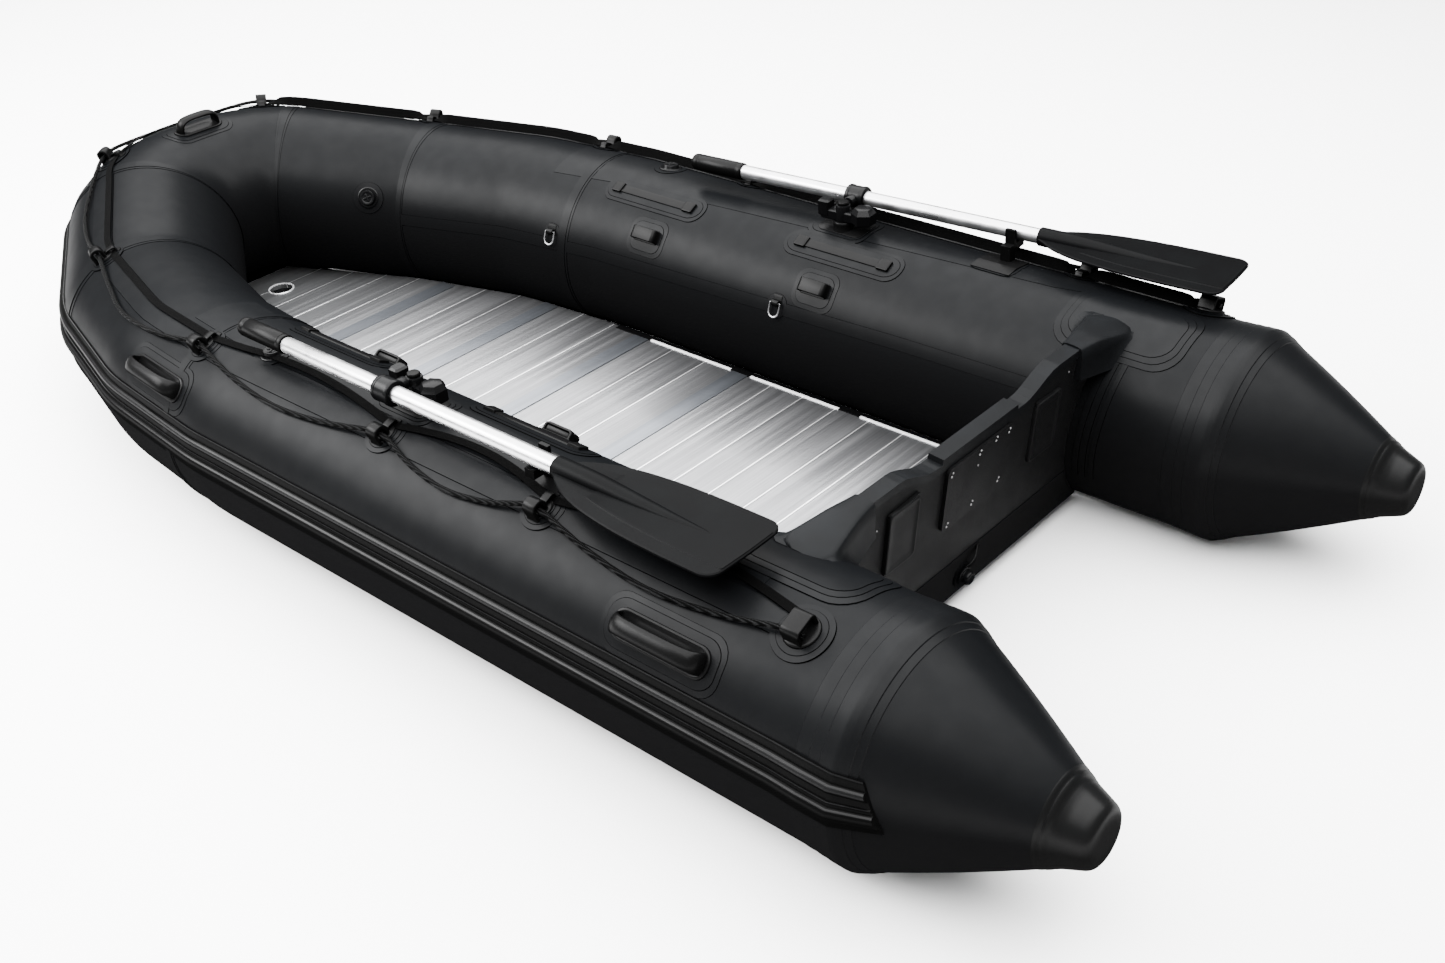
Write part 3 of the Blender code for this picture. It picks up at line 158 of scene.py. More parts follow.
# %% A material whose nodes are placed by name
class Finish:
    """A material with a Principled shader, built by naming its nodes' inputs."""

    def __init__(self, name):
        self.material = bpy.data.materials.new(name)
        self.material.use_nodes = True
        self.tree = self.material.node_tree
        self.shader = self.tree.nodes["Principled BSDF"]

    def put(self, socket, value):
        if isinstance(value, Wire):
            self.tree.links.new(value.socket, socket)
        elif isinstance(value, (tuple, list)) and len(socket.default_value) > len(value):
            socket.default_value = (*value, 1.0)
        else:
            socket.default_value = value

    def node(self, kind, settings=None, values=None, output=0):
        made = self.tree.nodes.new(kind)
        for name, value in (settings or {}).items():
            setattr(made, name, value)
        for key, value in (values or {}).items():
            self.put(made.inputs[key], value)
        return Wire(self, made.outputs[output])

    def set(self, **values):
        for name, value in values.items():
            self.put(self.shader.inputs[name.replace("_", " ")], value)
        return self.material

    def place(self):
        """Where the surface is, in the boat's own frame, in metres."""
        return self.node("ShaderNodeTexCoord", output="Object")

    def axes(self):
        split = self.node("ShaderNodeSeparateXYZ", {}, {0: self.place()})
        outputs = split.socket.node.outputs
        return [Wire(self, outputs[name]) for name in "XYZ"]

    def stretched(self, scale):
        """The place, scaled along each axis, for grain that runs one way."""
        return self.node("ShaderNodeVectorMath", {"operation": "MULTIPLY"},
                         {0: self.place(), 1: scale}, output="Vector")

    def noise(self, scale, detail=2.0, place=None):
        values = {"Scale": scale, "Detail": detail}
        values["Vector"] = place or self.place()
        return self.node("ShaderNodeTexNoise", {}, values, output="Fac")

    def facing_up(self):
        """How much the surface faces up: 1 at the top, 0 on a wall, -1 below."""
        normal = self.node("ShaderNodeNewGeometry", output="Normal")
        return self.node("ShaderNodeSeparateXYZ", {}, {0: normal}, output="Z")

    def upward(self):
        """1 on faces that look up and 0 on those that look down."""
        return self.facing_up().ramp(-0.2, 1.0)

    def blend(self, share, first, second):
        """A colour between two others."""
        mixed = self.tree.nodes.new("ShaderNodeMix")
        mixed.data_type = "RGBA"
        for name, value in (("Factor", share), ("A", first), ("B", second)):
            kind = "VALUE" if name == "Factor" else "RGBA"
            socket = next(s for s in mixed.inputs if s.name == name and s.type == kind)
            self.put(socket, value)
        return Wire(self, next(s for s in mixed.outputs if s.type == "RGBA"))

    def bump(self, height, distance, strength=1.0):
        return self.node("ShaderNodeBump", {}, {"Strength": strength, "Distance": distance,
                                                "Height": height}, output="Normal")


print("shader helpers ready")

# %% [markdown]
# ## Coated fabric
# The tubes are polyester cloth with a satin coating on both faces. From close by, the
# weave prints through the coating as a fine even grain. From afar one sees a soft broad
# sheen, slightly cloudy and strongest where the fabric looks up.

# %% Coated fabric of the tubes, and the glued tapes on them
def coated_fabric(name, low_tone, painted_top_tone, roughness, sheen, weave_pitch=0.0011):
    """Satin cloth, in one tone below and a painted tone where it faces up, set for how the light falls on the
    tops.
    """
    paint = Finish(name)
    x, y, z = paint.axes()
    cloud = paint.noise(3.1, 3.0)
    handled = paint.noise(23.0, 4.0)
    up = paint.upward()
    facing = paint.facing_up()
    # painted light: the colour where the fabric faces up is a painted tone for the light from above, not a
    # colour of the cloth
    tone = paint.blend(up * cloud.ramp(0.25, 0.8, 0.65, 1.0), low_tone, painted_top_tone)
    turns = 2 * math.pi / weave_pitch
    weave = (x * turns).sine() * ((y + z) * turns).sine()
    relief = paint.bump(handled * 0.75 + cloud + weave * 0.02, 0.0016, 0.5)
    satin = facing.ramp(0.02, 0.45, 0.05, 1.0) * sheen * handled.ramp(0.30, 0.75, 0.90, 1.08)
    paint.set(Base_Color=tone, Specular_IOR_Level=0.0,
              Roughness=handled.ramp(0.3, 0.75, roughness - 0.03, roughness + 0.05),
              Coat_Weight=satin, Coat_Roughness=0.34, Normal=relief)
    return paint.material


tube_fabric = coated_fabric("tube_fabric", (0.0020, 0.0020, 0.0021), (0.0016, 0.0018, 0.0021), 0.45, 0.074)
tape_fabric = coated_fabric("tape_fabric", (0.0020, 0.0020, 0.0021), (0.0016, 0.0018, 0.0021), 0.40, 0.090)
bottom_fabric = coated_fabric("bottom_fabric", (0.0030, 0.0030, 0.0031), (0.0022, 0.0023, 0.0025), 0.50, 0.06)
print("fabrics", tube_fabric.name, tape_fabric.name, bottom_fabric.name)

# %% [markdown]
# ## Moulded rubber and plastic
# Holders, handles, caps and rowlocks come out of steel moulds. Their skin has a fine
# grain. The faces that look up get a painted tone for the light from above; on most
# pieces it is a touch greyer.

# %% Moulded pieces
def moulded(name, colour, painted_top_colour, roughness, gloss=0.10, grain=0.0004, shine=0.0):
    """Grained rubber or plastic, in its own colour and a painted tone where it faces up."""
    paint = Finish(name)
    speckle = paint.noise(900.0, 2.0)
    cloud = paint.noise(14.0, 3.0)
    # painted light: the faces that look up are painted in another tone, standing in for the light from above
    painted_top_share = paint.upward() * cloud.ramp(0.40, 0.70, 0.35, 1.0)
    relief = paint.bump(speckle, grain, 0.5)
    satin = paint.facing_up().ramp(-0.05, 0.45, 0.05, 1.0) * gloss * speckle.ramp(0.3, 0.7, 0.85, 1.1)
    paint.set(Base_Color=paint.blend(painted_top_share, colour, painted_top_colour), Specular_IOR_Level=shine,
              Roughness=cloud.ramp(0.3, 0.7, roughness - 0.04, roughness + 0.06),
              Coat_Weight=satin, Coat_Roughness=roughness - 0.06, Normal=relief)
    return paint.material


moulded_rubber = moulded("moulded_rubber", (0.0012, 0.0012, 0.0012), (0.0020, 0.0020, 0.0021), 0.36)
moulded_plastic = moulded("moulded_plastic", (0.0012, 0.0012, 0.0013), (0.0024, 0.0025, 0.0027), 0.32, 0.14)
cap_rubber = moulded("cap_rubber", (0.0022, 0.0022, 0.0022), (0.0016, 0.0017, 0.0018), 0.36, 0.13, 0.0002)
strake_rubber = moulded("strake_rubber", (0.0008, 0.0008, 0.0008), (0.0010, 0.0010, 0.0010), 0.36, 0.05)
# a paler copy of the strake rubber: a painted highlight on the crests of the ribs
strake_crest_highlight = moulded("strake_crest_highlight", (0.0030, 0.0030, 0.0031), (0.0050, 0.0050, 0.0051), 0.30, 0.12)
blade_plastic = moulded("blade_plastic", (0.0012, 0.0012, 0.0013), (0.0015, 0.0016, 0.0017), 0.42, 0.040)
trim_rubber = moulded("trim_rubber", (0.0020, 0.0021, 0.0023), (0.0030, 0.0033, 0.0037), 0.42, 0.045,
                      shine=0.008)
board_coating = moulded("board_coating", (0.0024, 0.0024, 0.0025), (0.0024, 0.0025, 0.0026), 0.45, 0.06,
                        0.0010, 0.007)
seam_shadow = moulded("seam_shadow", (0.0001, 0.0001, 0.0001), (0.0002, 0.0002, 0.0002), 0.60, 0.01)
screw_steel = moulded("screw_steel", (0.11, 0.11, 0.11), (0.17, 0.17, 0.17), 0.30, 0.40)
print("moulded finishes ready")

# %% [markdown]
# ## Rope and webbing
# The lifeline is a braid of black yarn, and the strap a flat webbing with a coarse
# twill. The yarn of both is matt, so they look blacker than the fabric round them.

# %% Yarn
def yarn(name, colour, light, pitch, depth):
    """Crossed strands, with painted shade between them and a painted highlight along their crests."""
    paint = Finish(name)
    x, y, z = paint.axes()
    turns = 2 * math.pi / pitch
    crossing = ((x + y + z) * turns).sine()
    other = ((x - y * 0.7 + z) * turns).sine()
    fuzz = paint.noise(700.0, 2.0)
    strands = (crossing * other + 1) * 0.5
    # painted light: the gaps between strands are painted black as shade and the crests paler as highlight
    lit = strands.ramp(0.62, 0.92) * fuzz.ramp(0.3, 0.7, 0.4, 1.0)
    paint.set(Base_Color=paint.blend(lit, colour, light),
              Roughness=fuzz.ramp(0.3, 0.7, 0.6, 0.8), Specular_IOR_Level=0.01,
              Normal=paint.bump(strands + fuzz * 0.4, depth, 0.8))
    return paint.material


rope_yarn = yarn("rope_yarn", (0.0002, 0.0002, 0.0002), (0.0200, 0.0202, 0.0205), 0.0062, 0.0010)
strap_yarn = yarn("strap_yarn", (0.0003, 0.0003, 0.0003), (0.0012, 0.0012, 0.0013), 0.0030, 0.0004)
print("yarns ready")

# %% [markdown]
# ## Metals
# The floor planks are extruded aluminium with a fine satin grain that runs across the
# boat. Each plank's edge has a thin raised lip beside a hairline gap; the lip is painted
# near white, a painted highlight where the edge catches the light. The metal is clouded
# with faint smears. The oar shafts are drawn and anodised, the rings are steel.

# %% Planks of the floor
def planked(name, first_edge, plank_width):
    """Floor metal with plank edges every so far along X, counted from one edge."""
    paint = Finish(name)
    x, y, z = paint.axes()
    along = (x - first_edge) / plank_width
    off_edge = (along - along.nearest()) * plank_width
    lip_and_highlight = off_edge.size().ramp(0.0008, 0.0018, 1.0, 0.0)
    groove = (off_edge - groove_offset).size().ramp(0.0003, 0.0011, 1.0, 0.0)
    wander = paint.noise(1.0, 2.0, paint.stretched((9.0, 7.0, 1.0)))
    ridges = ((x + wander * 0.010) * (2 * math.pi / ridge_pitch)).sine()
    fine = paint.noise(1.0, 3.0, paint.stretched((620.0, 6.0, 60.0)))
    streak = paint.noise(1.0, 3.0, paint.stretched((70.0, 1.3, 10.0)))
    cloud = paint.noise(1.7, 2.0)
    mottled = fine * 0.34 + streak * 0.36 + cloud * 0.22 + ridges * 0.020
    metal = paint.blend(mottled.ramp(0.30, 0.66), plank_dark, plank_light)
    # Painted light and shade: the planks are painted paler toward the bow, and darker toward the starboard tube,
    # where that dark tube would be mirrored in the metal
    metal = paint.blend(x.ramp(-1.30, -0.75, 0.32, 0.0), metal, (0.42, 0.43, 0.44))
    metal = paint.blend(y.ramp(0.12, 0.45, 0.0, 0.16), metal, (0.03, 0.03, 0.032))
    metal = paint.blend(groove * 0.6, metal, (0.05, 0.051, 0.054))
    # painted highlight: the raised lip of each plank is painted near white
    metal = paint.blend(lip_and_highlight, metal, (0.95, 0.95, 0.96))
    paint.set(Base_Color=metal, Metallic=0.92, Specular_IOR_Level=0.20,
              Roughness=streak.ramp(0.3, 0.7, 0.30, 0.38),
              Normal=paint.bump(ridges * 0.05 + fine * 0.30 + lip_and_highlight * 1.4 - groove * 1.5, 0.0008, 0.5))
    return paint.material


plank_dark = (0.165, 0.167, 0.173)
plank_light = (0.262, 0.264, 0.271)
groove_offset = 0.0038
ridge_pitch = 0.0090
print("plank tones", plank_dark, "to", plank_light)


# %% Drawn metal, steel and the stringers
def drawn(name, colour, roughness, along=(1.0, 420.0, 60.0), metallic=1.0, smeared=0.5, relief=0.0001):
    """Bright metal with faint lines along its length."""
    paint = Finish(name)
    lines = paint.noise(1.0, 3.0, paint.stretched(along))
    smear = paint.noise(21.0, 3.0)
    darker = tuple(value * 0.80 for value in colour)
    paint.set(Base_Color=paint.blend((lines * (1 - smeared) + smear * smeared).ramp(0.3, 0.68), darker, colour),
              Metallic=metallic, Roughness=smear.ramp(0.35, 0.7, roughness, roughness + 0.16 * smeared),
              Normal=paint.bump(lines, relief, 0.4))
    return paint.material


joint_metal = drawn("joint_metal", (0.172, 0.184, 0.204), 0.31, (62.0, 0.9, 6.0), 0.92, 0.1, 0.00001)
edge_metal = drawn("edge_metal", (0.93, 0.94, 0.95), 0.24, (1.0, 420.0, 60.0), 0.6)
shaft_metal = drawn("shaft_metal", (0.50, 0.50, 0.51), 0.27, (2.0, 70.0, 70.0), 1.0, 0.6, 0.00001)
ring_steel = drawn("ring_steel", (0.20, 0.20, 0.205), 0.30, (60.0, 60.0, 60.0), 0.9)


def channel_metal():
    """A black channel whose inner lip is bare metal, except where a clip covers it."""
    paint = Finish("channel_metal")
    x, y, z = paint.axes()
    along = (x - first_joint_x) / joint_pitch
    clip = ((along - along.nearest()) * joint_pitch).size()
    bare = y.size().ramp(0.4182, 0.4192, 1.0, 0.0) * clip.ramp(0.032, 0.034) * x.ramp(-0.176, -0.172)
    lines = paint.noise(1.0, 3.0, paint.stretched((1.0, 420.0, 60.0)))
    bright = paint.blend(lines.ramp(0.3, 0.7), (0.88, 0.88, 0.89), (0.97, 0.97, 0.97))
    paint.set(Base_Color=paint.blend(bare, (0.0015, 0.0015, 0.0016), bright), Metallic=bare * 0.4,
              Specular_IOR_Level=0.02, Roughness=lines.ramp(0.3, 0.7, 0.26, 0.36),
              Normal=paint.bump(lines, 0.0002, 0.4))
    return paint.material


joint_pitch = 0.3449
first_joint_x = -0.8939
stringer_metal = channel_metal()
print("metals ready")

# %% [markdown]
# ## The line of the hull
# All three air chambers follow one line: straight along each side, then inward in short
# straight runs joined by bends, and round the bow. Everything glued to a tube is placed
# by its distance `s` along that line, measured from the middle of the bow and positive
# to starboard, and by its angle from the top of the tube, positive outboard.

# %% Lay out the hull line with fine steps
tube_radius = 0.230
half_spacing = 0.600
axis_height = 0.230
cone_base_x = 1.395
front_x = -1.5090
bow_length = 1.162
bow_rise = 0.065
corner_along = [1.0, 0.70, 0.37, 0.0]
corner_across = [1.0, 0.947, 0.77, 0.297]
corner_radii = [0.50, 0.50, 0.35, 0.26]
corner_steps = [6, 8, 8, 20]
straight_step = 0.06
flat_of_facet = tube_radius * math.cos(math.radians(7.5))
skin_radius = flat_of_facet + 0.0004
both_sides = ((-1, "port"), (1, "starboard"))


def half_hull_line():
    """Points from the middle of the bow to the starboard cone."""
    corners = [Vector((front_x + bow_length * a, half_spacing * b, axis_height))
               for a, b in zip(corner_along, corner_across)]
    corners[-1].z = axis_height + bow_rise
    line = [Vector((cone_base_x, half_spacing, axis_height))] + corners
    line.append(Vector((front_x, 0, axis_height + bow_rise)))
    points = [line[0]]
    for i, (radius, steps) in enumerate(zip(corner_radii, corner_steps)):
        before = (line[i] - line[i + 1]).normalized()
        after = (line[i + 2] - line[i + 1]).normalized()
        half_angle = before.angle(after) / 2
        run = radius / math.tan(half_angle)
        middle = line[i + 1] + (before + after).normalized() * radius / math.sin(half_angle)
        first = line[i + 1] + before * run - middle
        last = line[i + 1] + after * run - middle
        points += [middle + first.slerp(last, k / steps) * radius for k in range(steps + 1)]
    points.append(line[-1])
    fine = [points[0]]
    for point in points[1:]:
        start = fine[-1]
        pieces = max(1, math.ceil((point - start).length / straight_step))
        fine += [start.lerp(point, k / pieces) for k in range(1, pieces + 1)]
    return list(reversed(fine))


starboard_line = half_hull_line()
hull_points = [Vector((p.x, -p.y, p.z)) for p in reversed(starboard_line[1:])] + starboard_line
distances = [0.0]
for before, after in zip(hull_points, hull_points[1:]):
    distances.append(distances[-1] + (after - before).length)
bow_distance = distances[-1] / 2
distances = [distance - bow_distance for distance in distances]
print("hull line is", round(2 * bow_distance, 3), "m long, in", len(hull_points), "points")


# %% Find places on the hull line and on the tube's skin
def neighbours(path, k):
    """What comes before and after one item of a path, or the item itself at an end."""
    return path[max(k - 1, 0)], path[min(k + 1, len(path) - 1)]


def hull_frame(s):
    """Centre, and the along, outboard and up directions, at a distance along the line."""
    s = max(-bow_distance, min(bow_distance, s))
    low, high = 0, len(distances) - 2
    while low < high:
        middle = (low + high + 1) // 2
        if distances[middle] <= s:
            low = middle
        else:
            high = middle - 1
    run = distances[low + 1] - distances[low]
    share = (s - distances[low]) / run
    here = hull_points[low].lerp(hull_points[low + 1], share)

    def direction(i):
        before, after = neighbours(hull_points, i)
        return (after - before).normalized()

    along = direction(low).lerp(direction(low + 1), share).normalized()
    out = Vector((0, 0, 1)).cross(along).normalized()
    return here, along, out, along.cross(out)


def skin_point(s, degrees, height=0.0):
    """A point on the tube's skin, or that far off it."""
    centre, along, out, up = hull_frame(s)
    angle = math.radians(degrees)
    return centre + (out * math.sin(angle) + up * math.cos(angle)) * (skin_radius + height)


def seat(s, degrees):
    """A matrix on the skin: X along the hull line, Y outboard, Z off the tube."""
    centre, along, out, up = hull_frame(s)
    angle = math.radians(degrees)
    normal = out * math.sin(angle) + up * math.cos(angle)
    across = out * math.cos(angle) - up * math.sin(angle)
    turn = Matrix((along, across, normal)).transposed().to_4x4()
    return Matrix.Translation(centre + normal * skin_radius) @ turn


def distance_at(x, side):
    """How far along the hull line a place x is, on the port (-1) or starboard (1) side."""
    low, high = 0.0, bow_distance
    for _ in range(40):
        middle = (low + high) / 2
        if hull_frame(middle)[0].x < x:
            low = middle
        else:
            high = middle
    return side * low


print("straight side at x 0:", [round(v, 3) for v in skin_point(distance_at(0, 1), 0)])

# %% [markdown]
# ## Making pieces
# Each piece collects its points and faces from a few kinds of surface: a loft through
# rings, a plate laid on the tube, or a swept bar. Plates have a small step at the edge,
# because real patches are cut from 1 mm fabric and their edge catches the light.

# %% A collector of surfaces
class Shape:
    """Points and faces of one piece, gathered from several surfaces."""

    def __init__(self):
        self.points = []
        self.faces = []
        self.second = []

    def loft(self, rings, round_ring=True, caps=True, rows=(), columns=()):
        """Faces between rings. The rows and columns named get the piece's second finish."""
        start = len(self.points)
        count = len(rings[0])
        for ring in rings:
            self.points.extend(ring)
        for row in range(len(rings) - 1):
            for i in range(count if round_ring else count - 1):
                a = start + row * count + i
                b = start + row * count + (i + 1) % count
                if row in rows or i in columns:
                    self.second.append(len(self.faces))
                self.faces.append((a, b, b + count, a + count))
        if caps:
            last = start + (len(rings) - 1) * count
            self.faces.append(tuple(reversed(range(start, start + count))))
            self.faces.append(tuple(range(last, last + count)))
        return self

    def bar(self, path, section, up):
        """Sweeps a cross-section, given as (side, up) offsets, along points."""
        rings = []
        for k, point in enumerate(path):
            before, after = neighbours(path, k)
            along = (after - before).normalized()
            side = along.cross(up).normalized()
            rings.append([point + side * a + side.cross(along) * b for a, b in section])
        return self.loft(rings)

    def piece(self, name, finish, body="hull", crease=38, second=None):
        """The object itself. Edges sharper than the crease, in degrees, stay sharp."""
        mesh = bpy.data.meshes.new(name)
        mesh.from_pydata([tuple(point) for point in self.points], [], self.faces)
        if second:
            for index in self.second:
                mesh.polygons[index].material_index = 1
        bm = bmesh.new()
        bm.from_mesh(mesh)
        bmesh.ops.recalc_face_normals(bm, faces=bm.faces)
        bm.to_mesh(mesh)
        bm.free()
        mesh.shade_smooth()
        mesh.set_sharp_from_angle(angle=math.radians(crease))
        for material in (finish, second) if second else (finish,):
            mesh.materials.append(material)
        thing = bpy.data.objects.new(name, mesh)
        bpy.context.scene.collection.objects.link(thing)
        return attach(thing, body) if body else thing


print("surface collector ready")


# %% Outlines, and plates that follow the tube
def circle(radius, count):
    angles = [2 * math.pi * k / count for k in range(count)]
    return [(radius * math.cos(a), radius * math.sin(a)) for a in angles]


def quarter(middle_x, middle_y, radius, first, steps):
    """A quarter circle's points, starting a number of right angles from the X axis."""
    angles = [math.pi / 2 * (first + k / steps) for k in range(steps + 1)]
    return [(middle_x + radius * math.cos(a), middle_y + radius * math.sin(a)) for a in angles]


def oblong(half_long, half_wide, radius, steps=6):
    """A rectangle's outline with round corners."""
    points = []
    for corner, (sx, sy) in enumerate([(1, 1), (-1, 1), (-1, -1), (1, -1)]):
        points += quarter(sx * (half_long - radius), sy * (half_wide - radius), radius, corner, steps)
    return points


def finer(outline, longest=0.018):
    """The same outline with its long sides split, so that it can follow a curved tube."""
    points = []
    for (x0, y0), (x1, y1) in zip(outline, outline[1:] + outline[:1]):
        pieces = max(1, math.ceil(math.hypot(x1 - x0, y1 - y0) / longest))
        points += [(x0 + (x1 - x0) * k / pieces, y0 + (y1 - y0) * k / pieces) for k in range(pieces)]
    return points


def laid_plate(shape, s, degrees, outline, steps):
    """A patch glued to the tube. Steps are (inset, height) pairs from its edge inward."""
    outline = finer(outline)
    reach_u = max(abs(u) for u, v in outline)
    reach_v = max(abs(v) for u, v in outline)
    inset = steps[-1][0]
    inner = [(inset + (min(reach_u, reach_v) - inset) * share, steps[-1][1])
             for share in (0.25, 0.5, 0.75, 0.96)]
    rings = []
    for inset, height in steps + inner:
        scale_u = 1 - inset / reach_u
        scale_v = 1 - inset / reach_v
        if inset > steps[-1][0]:
            scale_u = scale_v = 1 - inset / min(reach_u, reach_v)
        rings.append([skin_point(s + u * scale_u, degrees + math.degrees(v * scale_v / skin_radius), height)
                      for u, v in outline])
    risers = [i for i in range(len(steps) - 1) if steps[i + 1][1] > steps[i][1] + least_riser]
    return shape.loft(rings, rows=risers)


least_riser = 0.0002


print("shape helpers ready")

# %% [markdown]
# ## Air chambers
# Each chamber is drawn tight by the air, so its skin has no folds. The solids have 24
# flat sides; these skins have 96 and fine steps along the line, so their outline and
# highlights are smooth.

# %% Chamber skins
chamber_end = distance_at(-1.060, 1)
tube_sides = 96


def chamber(name, start, end, node):
    """The skin of one chamber, with a ring at its ends and at each fine step between."""
    inside = [s for s in distances if start + 0.004 < s < end - 0.004]
    rings = [[skin_point(s, k * 360 / tube_sides) for k in range(tube_sides)] for s in [start] + inside + [end]]
    shape = Shape().loft(rings, caps=False)
    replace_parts(shape.piece(name, tube_fabric, crease=80), node)


chamber("bow_chamber", -chamber_end, chamber_end, "bow_tube")
chamber("port_chamber", -bow_distance, -chamber_end, "port_tube")
chamber("starboard_chamber", chamber_end, bow_distance, "starboard_tube")
print("chambers meet", round(chamber_end, 3), "m from the middle of the bow")

# %% [markdown]
# ## Stern cones
# The tubes end in cones behind the transom, each closed by a moulded cap. The cone's
# fabric is joined to the tube under a wide band, and the side of the cone bows out
# a little with the air.

# %% Cones and caps
cone_length = 0.305
cone_tip = 0.0705
cap_seam = [(-0.0300, -0.0010), (-0.0296, 0.0012), (-0.0240, 0.0014), (-0.0234, 0.0004), (-0.0196, 0.0004),
            (-0.0190, 0.0016), (-0.0125, 0.0018), (-0.0118, 0.0006), (-0.0040, 0.0010)]
cone_slope = (skin_radius - cone_tip) / cone_length
cone_bulge = 0.0045
cone_steps = 24
cap_profile = [(cone_tip - cone_slope * x + 0.0012 + height, x) for x, height in cap_seam]
cap_profile += [(0.0722, 0.0000), (0.0682, 0.0100), (0.0642, 0.0200), (0.0602, 0.0300), (0.0574, 0.0370),
                (0.0546, 0.0420), (0.0508, 0.0460), (0.0462, 0.0484), (0.0405, 0.0496), (0.0300, 0.0500),
                (0.0150, 0.0500), (0.0010, 0.0500)]


def cone_swell(share):
    """How far the air bows the cone's side out, at a share of its length."""
    return cone_bulge * math.sin(math.pi * share) ** 0.8 if share > 0 else 0.0


def turned_x(shape, x, y, profile, sides=96):
    """A turned surface about a line along X through the middle of a tube."""
    rings = [[Vector((x + reach, y + radius * math.sin(a), axis_height + radius * math.cos(a)))
              for a in (2 * math.pi * k / sides for k in range(sides))] for radius, reach in profile]
    return shape.loft(rings, caps=False)


for side, word in both_sides:
    profile = []
    for k in range(cone_steps + 1):
        share = k / cone_steps
        radius = skin_radius + (cone_tip - skin_radius) * share + cone_swell(share)
        profile.append((radius, cone_length * share))
    cone = turned_x(Shape(), cone_base_x, side * half_spacing, profile)
    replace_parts(cone.piece(word + "_cone", tube_fabric, crease=80), word + "_stern_cone")
    cap = turned_x(Shape(), cone_base_x + cone_length, side * half_spacing, cap_profile, 64)
    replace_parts(cap.piece(word + "_cap", cap_rubber, crease=60), word + "_cone_cap")
print("cones from x", cone_base_x, "to", cone_base_x + cone_length + cap_profile[-1][1])

# %% [markdown]
# ## Seam tapes
# Each joint in the fabric is closed by a glued tape on the outside, with a narrower tape
# over it, so one sees two or three fine parallel lines round the tube. A tape is about a
# millimetre thick and its cut edge catches the light.

# %% Tapes round the tube
tape_edge = 0.0012
tape_thickness = 0.0012
sunk = 0.0006  # how far a cut edge reaches into what it is glued to


def tape_section(start, end, low, high):
    """Across a tape: (place, height) pairs, with a short slope at both cut edges."""
    return [(start, low - sunk), (start + tape_edge, high), (end - tape_edge, high), (end, low - sunk)]


def ring_tape(shape, middle, half_width, low, high):
    """A band round the tube at a distance along the hull line."""
    section = tape_section(-half_width, half_width, low, high)
    rings = [[skin_point(middle + ds, k * 360 / tube_sides, height) for ds, height in section]
             for k in range(tube_sides + 1)]
    shape.loft(rings, round_ring=False, caps=False, columns=(0, 2))


def seam_band(shape, middle, half_width):
    """Two layers of tape over a joint, the upper one narrower."""
    ring_tape(shape, middle, half_width, 0.0, tape_thickness)
    ring_tape(shape, middle, half_width * 0.60, tape_thickness, 2 * tape_thickness)


seams = Shape()
for side in (-1, 1):
    seam_band(seams, side * chamber_end, 0.030)
    seam_band(seams, distance_at(-0.450, side), 0.018)
    seam_band(seams, distance_at(-1.425, side), 0.020)
seams.piece("ring_seams", tape_fabric, crease=25, second=seam_shadow)
print("tapes round the tube have", len(seams.faces), "faces")

# %% Tapes in layers where the cones begin
for side, word in both_sides:
    profile = []
    for x, height in ((-0.078, -0.0004), (-0.0766, 0.0010), (-0.052, 0.0010), (-0.0506, 0.0021),
                      (-0.0300, 0.0021), (-0.0286, 0.0032), (-0.0120, 0.0034), (-0.0060, 0.0036),
                      (0.0000, 0.0033), (0.0090, 0.0030), (0.0200, 0.0030), (0.0214, 0.0016),
                      (0.0330, 0.0014), (0.0344, -0.0006)):
        radius = skin_radius - cone_slope * max(x, 0) + cone_swell(x / cone_length)
        profile.append((radius + height, x))
    band = turned_x(Shape(), cone_base_x, side * half_spacing, profile)
    band.piece(word + "_cone_band", tape_fabric, crease=25)
print("seam tapes laid")


# %% Tapes that run along the tubes
def run_tape(shape, start, end, low_at, high_at, base, top, step=0.05):
    """A tape along the hull. Its lower and upper angles are functions of the distance."""
    count = max(2, math.ceil(abs(end - start) / step))
    rings = []
    for k in range(count + 1):
        s = start + (end - start) * k / count
        low, high = low_at(s), high_at(s)
        edge = math.degrees(tape_edge / skin_radius)
        inner = [low + edge + (high - low - 2 * edge) * i / 4 for i in range(5)]
        ring = [skin_point(s, low, base - sunk)] + [skin_point(s, a, top) for a in inner]
        rings.append(ring + [skin_point(s, high, base - sunk)])
    shape.loft(rings, columns=(0, 5))


def between(points):
    """A function that runs straight from point to point of (distance, value) pairs."""
    points = sorted(points)

    def value(s):
        if s <= points[0][0]:
            return points[0][1]
        for (s0, v0), (s1, v1) in zip(points, points[1:]):
            if s <= s1:
                return v0 + (v1 - v0) * (s - s0) / (s1 - s0)
        return points[-1][1]
    return value


long_seams = Shape()
for side in (-1, 1):
    def at(x):
        return distance_at(x, side)

    def signed(pairs):
        return between([(at(x), side * degrees) for x, degrees in pairs])

    def both(start, end, low, high, base, top):
        a, b = signed(low), signed(high)
        if side > 0:
            run_tape(long_seams, at(start), at(end), a, b, base, top)
        else:
            run_tape(long_seams, at(start), at(end), lambda s: -a(s), lambda s: -b(s), base, top)

    # The lower inner joint of the panels, just above the ring seats
    both(-1.06, 1.06, [(-1.06, -83), (0.65, -72), (1.06, -71)],
         [(-1.06, -75), (0.65, -64), (1.06, -63)], 0, 0.0010)
    # The panel that carries the rowlocks along the top
    both(-0.56, 1.12, [(-0.56, -27), (0.935, -6), (1.12, 4)], [(-0.56, 12), (0.935, 14), (1.12, 18)], 0, 0.0009)
    # The tape under the rope holders
    both(-1.44, 1.25, [(-1.44, 15), (1.25, 15)], [(-1.44, 30), (1.25, 29)], 0.0009, 0.0019)
long_seams.piece("long_seams", tape_fabric, crease=25, second=seam_shadow)
print("tapes along the tubes have", len(long_seams.faces), "faces")
